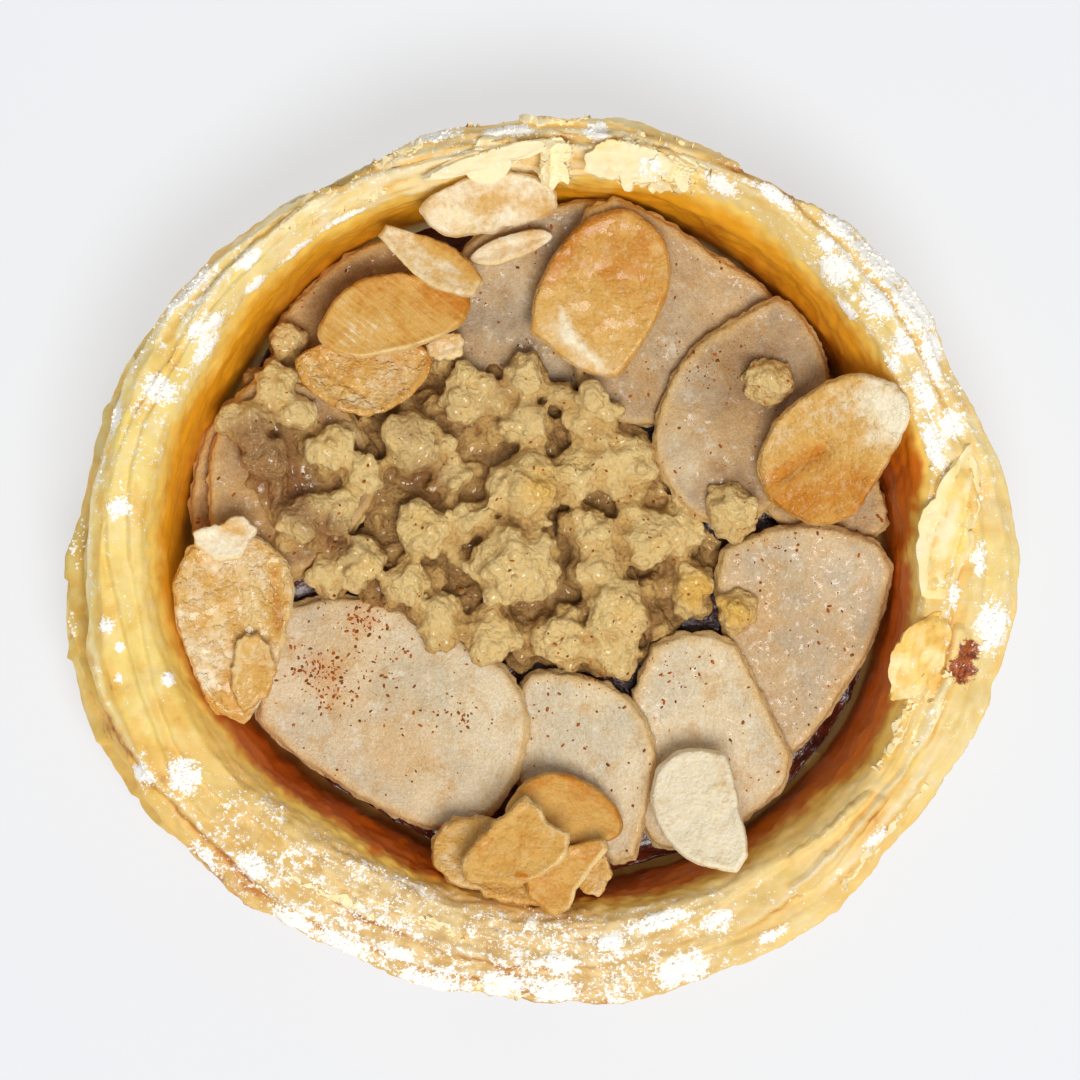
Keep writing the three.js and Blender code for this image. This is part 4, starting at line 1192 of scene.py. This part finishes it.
# Toast, skin line, glaze, stripes, ragged edge in millimetres, and the bearing of the side cut pale
ALMONDS = {
    "top_sliver": (0.12, -0.2, 0.1, 0.2, 0.08, 250),
    "top_crescent": (0.14, -0.2, 0.3, 0.1, 0.15, None),
    "upper_left_round": (0.4, 0.5, 1.0, 0.1, 0.1, None),
    "upper_left_chip": (0.2, -0.2, 0.2, 0.2, 0.3, 300),
    "upper_left_oval": (0.58, 0.1, 0.15, 1.0, 0.12, 280),
    "upper_left_shard": (0.16, -0.3, 0.2, 0.2, 0.12, 225),
    "top_shield": (0.55, -0.3, 0.6, 0.1, 0.08, None),
    "right_broad": (0.5, -0.1, 0.6, 0.2, 0.12, None),
    "left_disc": (0.3, 0.0, 1.0, 0.1, 0.16, 30),
    "left_top_shard": (0.08, -0.2, 0.2, 0.2, 0.3, 250),
    "left_low_shard": (0.45, 0.0, 0.5, 0.1, 0.35, 160),
    "bottom_clump": (0.5, 0.1, 0.6, 0.1, 0.3, None),
    "bottom_back": (0.6, 0.1, 0.3, 0.2, 0.08, None),
    "bottom_crumb": (0.45, 0.0, 0.6, 0.1, 0.3, None),
    "bottom_low": (0.62, 0.0, 0.4, 0.2, 0.15, 340),
    "bottom_front": (0.6, -0.1, 0.4, 0.2, 0.2, 20),
    "bottom_pale": (-0.1, -0.4, 0.25, 0.3, 0.05, None),
}
ROUND_ENDED = (
    "top_sliver", "top_crescent", "upper_left_round", "upper_left_oval", "right_broad", "left_disc",
    "bottom_clump", "bottom_back",
)
# Lines and spots on the flakes: what changes, from where to where, how wide and by how much
ALMOND_MARKS = {
    "top_shield": (
        ("toast", (4, 35.5), (10, 32.5), 4.2, 0.3), ("toast", (0.6, 29.5), (4.6, 36.6), 0.8, 0.3),
        ("toast", (4.6, 36.6), (9, 38), 0.7, 0.3), ("toast", (2.4, 26.8), (3.2, 24), 0.7, -0.3),
        ("toast", (3.2, 24), (6.3, 21.2), 0.7, -0.3), ("toast", (1, 24.6), (6.4, 20), 1.8, -0.25),
        ("lift", (2.4, 26.8), (3.2, 24), 0.6, 0.25), ("lift", (3.2, 24), (6.3, 21.2), 0.6, 0.25),
        ("glaze", (1, 25), (6, 20), 1.8, -0.5),
    ),
    "top_crescent": (
        ("cut", (-10, 36.6), (-7.6, 36.4), 1.5, 0.7), ("lift", (-7, 40.1), (-1.5, 40.4), 0.35, 0.15),
        ("cut", (-7, 40.1), (-1.5, 40.4), 0.3, 0.3), ("toast", (-6, 38), (0.5, 38.5), 2, 0.15),
    ),
    "upper_left_round": (
        ("lift", (-24, 21.9), (-22.8, 20), 0.35, -0.35),
        ("lift", (-22.8, 20), (-18.9, 17.8), 0.35, -0.35), ("toast", (-24, 21.9), (-22.8, 20), 0.5, 0.2),
        ("toast", (-22.8, 20), (-18.9, 17.8), 0.5, 0.2),
    ),
    "upper_left_oval": (
        ("toast", (-11.5, 28.6), (-8.6, 27.6), 2, 0.5), ("toast", (-20, 24.6), (-17, 25.4), 1.6, -0.3),
        ("cut", (-24, 24.2), (-23.4, 23.2), 0.6, 0.6), ("toast", (-20, 29.5), (-13, 31), 0.8, 0.2),
    ),
    "upper_left_shard": (("toast", (-12.6, 35), (-6.5, 30.6), 0.8, 0.5),),
    "right_broad": (
        ("toast", (36, 17), (38.6, 15), 3.4, -0.55), ("cut", (35.6, 15.4), (36.6, 14.6), 0.9, 0.7),
        ("cut", (36.5, 18.6), (36.8, 18), 0.5, 0.7), ("toast", (27, 5.6), (33, 7.5), 3.4, 0.5),
        ("lift", (25.4, 8.5), (30.8, 11.9), 0.9, -0.7), ("toast", (25.4, 8.7), (30, 11.6), 0.9, 0.35),
        ("cut", (26, 8), (28.4, 9.9), 0.35, 0.5), ("cut", (23.8, 10.5), (28, 17), 0.4, 0.5),
    ),
    "left_disc": (
        ("cut", (-35.4, -4.8), (-34.4, -7.2), 0.7, 0.9), ("cut", (-31.6, -1.5), (-30.6, -8.5), 1.5, 0.8),
        ("lift", (-28.6, -1.2), (-28, -8), 0.45, -0.5), ("toast", (-28.6, -1.2), (-28, -8), 0.5, 0.45),
        ("lift", (-31.2, -2), (-30.2, -7), 0.9, 0.3),
        ("toast", (-34.6, -15.5), (-32.6, -16.4), 1.5, 0.35),
    ),
    "left_top_shard": (("toast", (-33.6, 3.4), (-32, 3), 0.8, 0.35),),
    "left_low_shard": (
        ("toast", (-31, -12.2), (-29.2, -13.6), 1.2, 0.3),
        ("cut", (-30.6, -8.4), (-29.6, -9.4), 0.8, 0.5),
    ),
    "bottom_front": (
        ("cut", (-6.6, -33.4), (-1, -34.6), 0.35, 0.5), ("cut", (-8.2, -31.6), (-8, -33.2), 0.4, 0.6),
        ("toast", (-2.2, -34), (-1.6, -34.2), 0.5, 0.8), ("cut", (-1.8, -31.4), (-1.2, -32.2), 0.4, 0.6),
    ),
    "bottom_back": (
        ("toast", (-2.5, -25.2), (3, -23.4), 0.5, 0.3), ("toast", (3, -23.4), (8.6, -28), 0.5, 0.3),
    ),
    "bottom_low": (("cut", (7.2, -31.2), (3.6, -37.6), 0.4, 0.5),),
    "bottom_pale": (
        ("cut", (17.6, -21.6), (19.4, -32), 1.6, 0.4), ("lift", (16, -21.5), (18.2, -32.5), 0.6, 0.15),
    ),
}


def dent(places, start, stop, width):
    """1 along a line in plan, falling away over a width."""
    return np.exp(-(edge_distance(places, np.array([(start, stop)])) / width) ** 2)


class TART_OT_almonds(bpy.types.Operator):
    """Scatter the almond flakes"""

    bl_idname = "tart.almonds"
    bl_label = "Almond flakes"

    def execute(self, context):
        finish = almond_finish()
        for seed, (name, row) in enumerate(ALMONDS.items()):
            toast, skin, glaze, stripe, ragged, cut = row
            mesh, pairs = flat_piece("almond_" + name, 3, 0.8, 0.02, name in ROUND_ENDED)
            places = points_of(mesh)
            edge = edge_distance(places, pairs)
            out = outward(places, pairs)
            top = ease(normals_of(mesh)[:, 2], 0.0, 0.6)
            marks = {
                "toast": toast + 0.2 * mottle(places, 5.0, seed + 90, 2), "cut": np.zeros(len(places)),
                "glaze": np.full(len(places), glaze), "lift": np.zeros(len(places)),
            }
            for kind, start, stop, width, amount in ALMOND_MARKS.get(name, ()):
                marks[kind] = marks[kind] + amount * dent(places, start, stop, width)
            if name == "upper_left_round":
                marks["lift"] += 0.35 * np.exp(-((edge - 0.4) / 0.3) ** 2) - 0.25 * ease(edge, 0.8, 2.0)
                marks["toast"] += 0.35 * (1.0 - ease(edge, 0.4, 1.1))
            if name not in ("upper_left_round", "top_shield", "bottom_back"):
                crisp = 0.5 + 0.6 * mottle(places, 1.5, seed + 75)
                marks["cut"] += 0.6 * crisp * (1.0 - ease(edge, 0.15, 0.6))
            if cut is not None:
                facing = out @ np.array((math.cos(math.radians(cut)), math.sin(math.radians(cut))))
                marks["cut"] += ease(facing, 0.2, 0.7) * (1.0 - ease(edge, 0.3, 0.9))
            lift = 0.16 * mottle(places, 3.5, seed + 60) + 0.04 * mottle(places, 0.8, seed + 80)
            lift += top * (marks.pop("lift") + 0.14 * np.exp(-((edge - 0.6) / 0.4) ** 2))
            shift = normals_of(mesh) * lift[:, None]
            torn = ragged * (1.0 - ease(edge, 0.2, 1.4)) * mottle(places * (1, 1, 0), 1.5, seed + 70, 4)
            torn *= 1.7
            shift[:, :2] += out * torn[:, None]
            put_points(mesh, places + shift)
            along, across = grain_of(places, pairs, 52.0 if name == "upper_left_oval" else 0.0)
            marks["glaze"] = np.clip(marks["glaze"], 0.0, 1.0)
            marks.update(seed=seed * SEED_STEP, skin=skin, stripe=stripe)
            mark(mesh, edge=edge, along=along, across=across, **marks)
            add_piece("almond_flake_" + name, mesh, finish, "almond", "almond_" + name)
        return {"FINISHED"}


# Crumble


STAINS = (
    (-31, 13, 4, 1), (-29, 9, 4, 0.9), (-27, 6, 2.6, 0.9), (-23, 3, 2.8, 1), (-12, 8, 3.4, 0.8),
    (-5, 9.5, 3, 0.4), (-14, 15.5, 5, 0.6), (-4, 17.5, 5, 0.5), (4, 17, 4, 0.4), (-17, -3.6, 2, 0.6),
    (12.5, -6.5, 2, 0.6), (0.5, -4.6, 2, 0.6), (-20.5, 0, 2.4, 0.5),
)
GOLDEN = (
    (0.5, 7.5, 3.6, 0.9), (-12.5, 3.6, 2.8, 0.6), (17, -3.4, 2.8, 1.2), (21.5, -6, 2.4, 1),
    (9.4, -6, 3, 0.6), (3, 0.4, 2.2, 0.5), (13, 1.6, 2, 0.5), (-28.5, 18.6, 2.4, 0.5),
    (-23, 13, 2.4, 0.5), (-19, 10, 2.4, 0.4), (-18.5, -1, 2.2, 0.6), (-9, -8, 2.2, 0.5),
)
# Lumps of the heap: place in plan and width
LUMPS = (
    (-1.6, 7.4, 7.6), (3.6, 8.8, 6), (-1.4, 14.4, 5.6), (5, 14.6, 5.6), (9.4, 10.8, 6.6), (-2.6, -0.6, 9),
    (11.8, 2.4, 6.4), (15.6, 2.8, 5.6), (5.4, 3.2, 5.6), (6.4, -1.6, 6.2), (8.4, -5.6, 7.4),
    (7.6, -10, 6.4), (2.6, -8.6, 6), (-12.8, 2.8, 6), (-7.4, 4, 4.6), (-14, -2, 5.4), (-11, -6.4, 5.8),
    (-5.2, -8, 6), (-19.4, 0, 6), (-23, -2, 4.8), (-22.4, 12, 4.8), (-19, 9.2, 4.8), (-13.6, 12.4, 6.4),
    (-29.6, 10.8, 5.4), (-28.6, 18.6, 4.8), (-31.4, 14.4, 5.4), (-27.2, 23.4, 4.4), (-22.4, 4.8, 5),
    (-8, 17.4, 5.6), (-1.4, 19.4, 5.4), (16.6, -3, 5.4), (-26.4, 4, 5),
)
STRAYS = {"far": (24.7, 19.0, 5.6), "upper": (20.8, 5.2, 6.0), "lower": (21.4, -5.8, 5.2)}
KNOBS = 16
SMALL_LUMPS = 260
VOXEL = 0.3 * MM
LOOSE_CRUMBS = 12
CRUMB_REACH = 30.0
CRUMB_FRONT = -7.0
FILLERS = (
    (-10.4, 21, 2.2), (-8.2, 20, 1.8), (5.6, 17.4, 2), (7.6, 15.8, 1.6), (-4.4, 17.1, 1.7),
    (-1.6, 18.4, 1.6), (2.4, 17.8, 1.8), (-13, 20.2, 1.6), (9.6, 14, 1.5), (-6, 18.6, 1.6),
)
MELTED = ((-14, 15.5, 5), (-4, 17.5, 5), (-27, 17, 5), (-30, 10, 4))


def nodules(points, size):
    """Rounded cells: about 1 in the middle of each and 0 along the creases between them."""
    return np.array([1.0 - noise.voronoi(place)[0][0] / 0.75 for place in (points / size).tolist()])


def crumble_mesh(rng, node, lumps, small, sunk, under=None, extra=()):
    """Knobbly lumps over a packed core that lies lower, run together and given a sandy grain."""
    bm = cad_copy(node)
    core = BVHTree.FromBMesh(bm)
    bmesh.ops.translate(bm, verts=bm.verts, vec=(0, 0, -sunk * MM))
    bmesh.ops.triangulate(bm, faces=bm.faces)
    frames = []
    for x, y, width in lumps:
        middle = look_down(core, x, y)[0] - Vector((0, 0, 0.44 * width * MM))
        frames.append((middle, round_axes(rng, 0.46 * width, 0.92, 1.08)))
        for _ in range(KNOBS):
            way = Vector((rng.gauss(0, 1), rng.gauss(0, 1), abs(rng.gauss(0, 0.9)))).normalized()
            size = width * rng.uniform(0.11, 0.2)
            place = middle + way * (0.49 * width - 0.6 * size) * MM
            frames.append((place, round_axes(rng, size, 0.75, 1.3)))
    upper = [face for face in bm.faces if face.normal.z > 0.1]
    for face in rng.choices(upper, [face.calc_area() for face in upper], k=small):
        corners = [vert.co for vert in face.verts]
        place = corners[0].lerp(corners[1], rng.random()).lerp(corners[2], rng.uniform(0.0, 0.7))
        frames.append((place, round_axes(rng, rng.uniform(0.7, 1.7), 0.8, 1.25)))
    for x, y, size in extra:
        place = look_down(under, x, y)[0]
        frames.append((place + Vector((0, 0, 1.5 * size * MM)), round_axes(rng, size, 0.8, 1.2)))
    knobs = balls(frames, 2)
    bm.from_mesh(knobs)
    bpy.data.meshes.remove(knobs)
    joined = ("REMESH", {"mode": "VOXEL", "voxel_size": VOXEL})
    mesh = settled(bm, joined, ("SMOOTH", {"factor": 0.5, "iterations": 2}))
    places = points_of(mesh)
    grain = sizes().crumb_grain / MM
    melted = np.clip(sum(mound(places, *spot) for spot in MELTED), 0.0, 1.0)
    lift = 0.3 * mottle(places, 2.0 * grain, 1) + 0.4 * (nodules(places, grain) - 0.5)
    lift += 0.3 * (nodules(places, 2.3 * grain) - 0.5)
    lift += 0.25 * (nodules(places, 0.55 * grain) - 0.5) + 0.2 * mottle(places, 0.5 * grain, 3)
    shift = normals_of(mesh) * (lift * (1.0 - 0.35 * melted))[:, None]
    put_points(mesh, places + shift)
    return mesh


def hollows(places, reach):
    """How far each place lies under the mean of the tops around it, in millimetres."""
    cell = 0.6
    low = places[:, :2].min(axis=0)
    spots = ((places[:, :2] - low) / cell).astype(int)
    tops = np.full(spots.max(axis=0) + 1, -1.0)
    np.maximum.at(tops, (spots[:, 0], spots[:, 1]), places[:, 2])
    known = (tops > 0).astype(float)
    total = np.where(tops > 0, tops, 0.0)
    span = int(reach / cell)
    for axis in (0, 1):
        total = sum(np.roll(total, shift, axis) for shift in range(-span, span + 1))
        known = sum(np.roll(known, shift, axis) for shift in range(-span, span + 1))
    mean = total / np.maximum(known, 1.0)
    return mean[spots[:, 0], spots[:, 1]] - places[:, 2]


def mark_crumble(mesh, lowest):
    """Marks of the crumble: stains, height above the hollows for the painted shade in them and the paler
    tops, grain and gold.
    """
    places = points_of(mesh)
    mark(
        mesh,
        soak=mounds(places, STAINS),
        tall=np.maximum(-hollows(places, 3.0) / 1.5, lowest),
        nodule=nodules(places, sizes().crumb_grain / MM),
        gold=0.2 + mounds(places, GOLDEN) + 0.2 * mottle(places, 5.0, 4, 2),
    )


class TART_OT_crumble(bpy.types.Operator):
    """Heap the crumble and its loose crumbs"""

    bl_idname = "tart.crumble"
    bl_label = "Crumble"

    def execute(self, context):
        rng = random.Random(21)
        finish = crumble_finish()
        slices = fruit_slices()
        under = tree_of(bpy.data.objects["filling"], *slices)
        heap = crumble_mesh(rng, "crumble_heap", LUMPS, SMALL_LUMPS, 0.8, under, FILLERS)
        mark_crumble(heap, -1.2)
        pieces = [add_piece("crumble_top", heap, finish, "crumble", "crumble_heap")]
        for name, place in STRAYS.items():
            lump = crumble_mesh(rng, "crumble_lump_" + name, (place,), 0, 0.3)
            mark_crumble(lump, -0.2)
            node = "crumble_lump_" + name
            pieces.append(add_piece("crumble_stray_" + name, lump, finish, "crumble", node))
        tree = tree_of(*slices, *pieces)
        frames = []
        while len(frames) < LOOSE_CRUMBS:
            x, y = rng.gauss(-2.0, 13.0), rng.gauss(4.0, 10.0)
            place = look_down(tree, x, y)[0]
            if place is None or math.hypot(x, y) > CRUMB_REACH or y < CRUMB_FRONT:
                continue
            size = rng.uniform(0.3, 0.55)
            turn = Matrix.Rotation(rng.uniform(0, 6.28), 3, "Z")
            axes = round_axes(rng, size, 0.75, 1.25, turn)
            frames.append((place + Vector((0, 0, size * 0.2 * MM)), axes))
        crumbs = balls(frames, 2)
        places = points_of(crumbs)
        put_points(crumbs, places + 0.3 * mottle(places, 0.7, 5)[:, None] * normals_of(crumbs))
        mark_crumble(crumbs, 0.2)
        add_piece("crumble_crumbs", crumbs, finish, "crumble")
        return {"FINISHED"}


# Spice and icing sugar


LOOSE_SPICE = 800
SPICE_SPREAD = 38
HEAP_GRAINS = 44
SPICE_SIZES = (0.08, 0.11, 0.15, 0.21)
SUGAR_TRIES = 40000
SUGAR_BAND = (37.0, 52.0)
SUGAR_SIZES = (0.5, 0.7, 1.0, 1.4)
SUGAR_FLOOR = 13 * MM


class TART_OT_spice(bpy.types.Operator):
    """Strew grains of ground spice over the fruit and the crumble"""

    bl_idname = "tart.spice"
    bl_label = "Ground spice"

    def execute(self, context):
        rng = random.Random(47)
        heaps = ("crumble_top", "crumble_stray")
        crumble = [piece for piece in bpy.data.objects if piece.name.startswith(heaps)]
        tree = tree_of(*fruit_slices(), *crumble)
        spread = (-SPICE_SPREAD, SPICE_SPREAD)
        spots = [(rng.uniform(*spread), rng.uniform(*spread)) for _ in range(LOOSE_SPICE)]
        for x, y, radius, share in SPICE_HEAPS:
            count = round(HEAP_GRAINS * share * radius)
            spots += [(rng.gauss(x, 0.6 * radius), rng.gauss(y, 0.45 * radius)) for _ in range(count)]
        frames, red = [], []
        for x, y in spots:
            place, normal = look_down(tree, x, y)
            if place is None or normal.z < 0.3:
                continue
            size = rng.choice(SPICE_SIZES)
            turn = normal.to_track_quat("Z", "X").to_matrix() @ Matrix.Rotation(rng.uniform(0, 6.28), 3, "Z")
            shape = (size * rng.uniform(0.8, 1.6), size * rng.uniform(0.6, 1.0), size * 0.5)
            frames.append((place, [tuple(turn.col[axis] * shape[axis]) for axis in range(3)]))
            red.append(rng.random())
        grains = balls(frames, 1)
        places = points_of(grains)
        put_points(grains, places + 0.03 * mottle(places, 0.12, 5, 1)[:, None])
        mark(grains, red=np.repeat(red, len(grains.vertices) // len(red)))
        add_piece("spice_grains", grains, spice_finish(), "apple")
        return {"FINISHED"}


class TART_OT_sugar(bpy.types.Operator):
    """Dust the rim with clumps of icing sugar"""

    bl_idname = "tart.sugar"
    bl_label = "Icing sugar"

    def execute(self, context):
        rng = random.Random(33)
        tree = tree_of(bpy.data.objects["pastry_rim"], bpy.data.objects["pastry_leaves"])
        radius = sizes().sugar_grain / MM
        tries = []
        for _ in range(SUGAR_TRIES):
            bearing, reach = rng.uniform(0, 2 * math.pi), rng.uniform(*SUGAR_BAND)
            tries.append((reach * math.cos(bearing), reach * math.sin(bearing), 0.0))
        frames = []
        for (x, y, _), sugar in zip(tries, sugar_at(np.array(tries))):
            if sugar < 0.36 + 0.6 * rng.random():
                continue
            place, normal = look_down(tree, x, y)
            if place is None or place.z < SUGAR_FLOOR or normal.z < 0.2:
                continue
            size = radius * rng.choice(SUGAR_SIZES) * rng.uniform(0.7, 1.3)
            turn = Matrix.Rotation(rng.uniform(0, 6.28), 3, "Z")
            turn = turn @ Matrix.Rotation(rng.uniform(0, 0.8), 3, "X")
            frames.append((place + normal * size * 0.35 * MM, round_axes(rng, size, 0.7, 1.3, turn)))
        grains = balls(frames, 1)
        put_points(grains, points_of(grains))
        add_piece("icing_sugar", grains, sugar_finish(), "pastry")
        return {"FINISHED"}


# Stage


SENSOR = 36.0
CAMERA_REACH = 0.75
VIEW_WIDTH = 1080 * 0.1085 * MM
VIEW_MIDDLE = (0.05 * MM, 1.93 * MM)
VIEW_HEIGHT = 15 * MM


class TART_OT_stage(bpy.types.Operator):
    """Set the floor, the soft light and the camera straight above"""

    bl_idname = "tart.stage"
    bl_label = "Stage"

    def execute(self, context):
        scene = context.scene
        scene.view_settings.view_transform = "Standard"
        bm = bmesh.new()
        bmesh.ops.create_grid(bm, x_segments=4, y_segments=4, size=2.0)
        mesh = plain_mesh(bm)
        mesh.materials.append(floor_finish())
        floor = bpy.data.objects.new("floor", mesh)
        scene.collection.objects.link(floor)
        world = bpy.data.worlds.new("studio")
        world.use_nodes = True
        back = world.node_tree.nodes["Background"].inputs
        back["Color"].default_value = (1.0, 1.0, 1.0, 1.0)
        back["Strength"].default_value = 0.34
        scene.world = world
        self.light(scene, "key", (0.12, -0.32, 0.9), 0.45, 7.0)
        camera = bpy.data.objects.new("camera", bpy.data.cameras.new("camera"))
        scene.collection.objects.link(camera)
        camera.data.sensor_width = SENSOR
        camera.data.lens = SENSOR * CAMERA_REACH / VIEW_WIDTH
        camera.data.clip_start = 0.01
        camera.location = (*VIEW_MIDDLE, CAMERA_REACH + VIEW_HEIGHT)
        scene.camera = camera
        return {"FINISHED"}

    def light(self, scene, name, place, size, power):
        lamp = bpy.data.lights.new(name, "AREA")
        lamp.shape = "DISK"
        lamp.size = size
        lamp.energy = power
        lit = bpy.data.objects.new(name, lamp)
        lit.location = place
        lit.rotation_euler = (Vector((0, 0, 0.015)) - Vector(place)).to_track_quat("-Z", "Y").to_euler()
        scene.collection.objects.link(lit)


OPERATORS = (
    TART_OT_stage,
    TART_OT_pastry,
    TART_OT_leaves,
    TART_OT_filling,
    TART_OT_slices,
    TART_OT_almonds,
    TART_OT_crumble,
    TART_OT_spice,
    TART_OT_sugar,
)


class TART_PT_panel(bpy.types.Panel):
    """Lists the steps that dress the tart"""

    bl_idname = "TART_PT_panel"
    bl_label = "Tart"
    bl_space_type = "VIEW_3D"
    bl_region_type = "UI"
    bl_category = "Tart"

    def draw(self, context):
        for step in OPERATORS:
            self.layout.operator(step.bl_idname)
        for group in (context.scene.tart_sizes, context.scene.tart_colours):
            for name in group.__annotations__:
                self.layout.prop(group, name)


CLASSES = (TartSizes, TartColours, *OPERATORS, TART_PT_panel)


def register():
    for each in CLASSES:
        bpy.utils.register_class(each)
    bpy.types.Scene.tart_sizes = bpy.props.PointerProperty(type=TartSizes)
    bpy.types.Scene.tart_colours = bpy.props.PointerProperty(type=TartColours)


def unregister():
    del bpy.types.Scene.tart_sizes
    del bpy.types.Scene.tart_colours
    for each in reversed(CLASSES):
        bpy.utils.unregister_class(each)


def main():
    register()
    bpy.ops.tart.stage()
    bpy.ops.tart.pastry()
    bpy.ops.tart.leaves()
    bpy.ops.tart.filling()
    bpy.ops.tart.slices()
    bpy.ops.tart.almonds()
    bpy.ops.tart.crumble()
    bpy.ops.tart.spice()
    bpy.ops.tart.sugar()


if __name__ == "__main__":
    main()
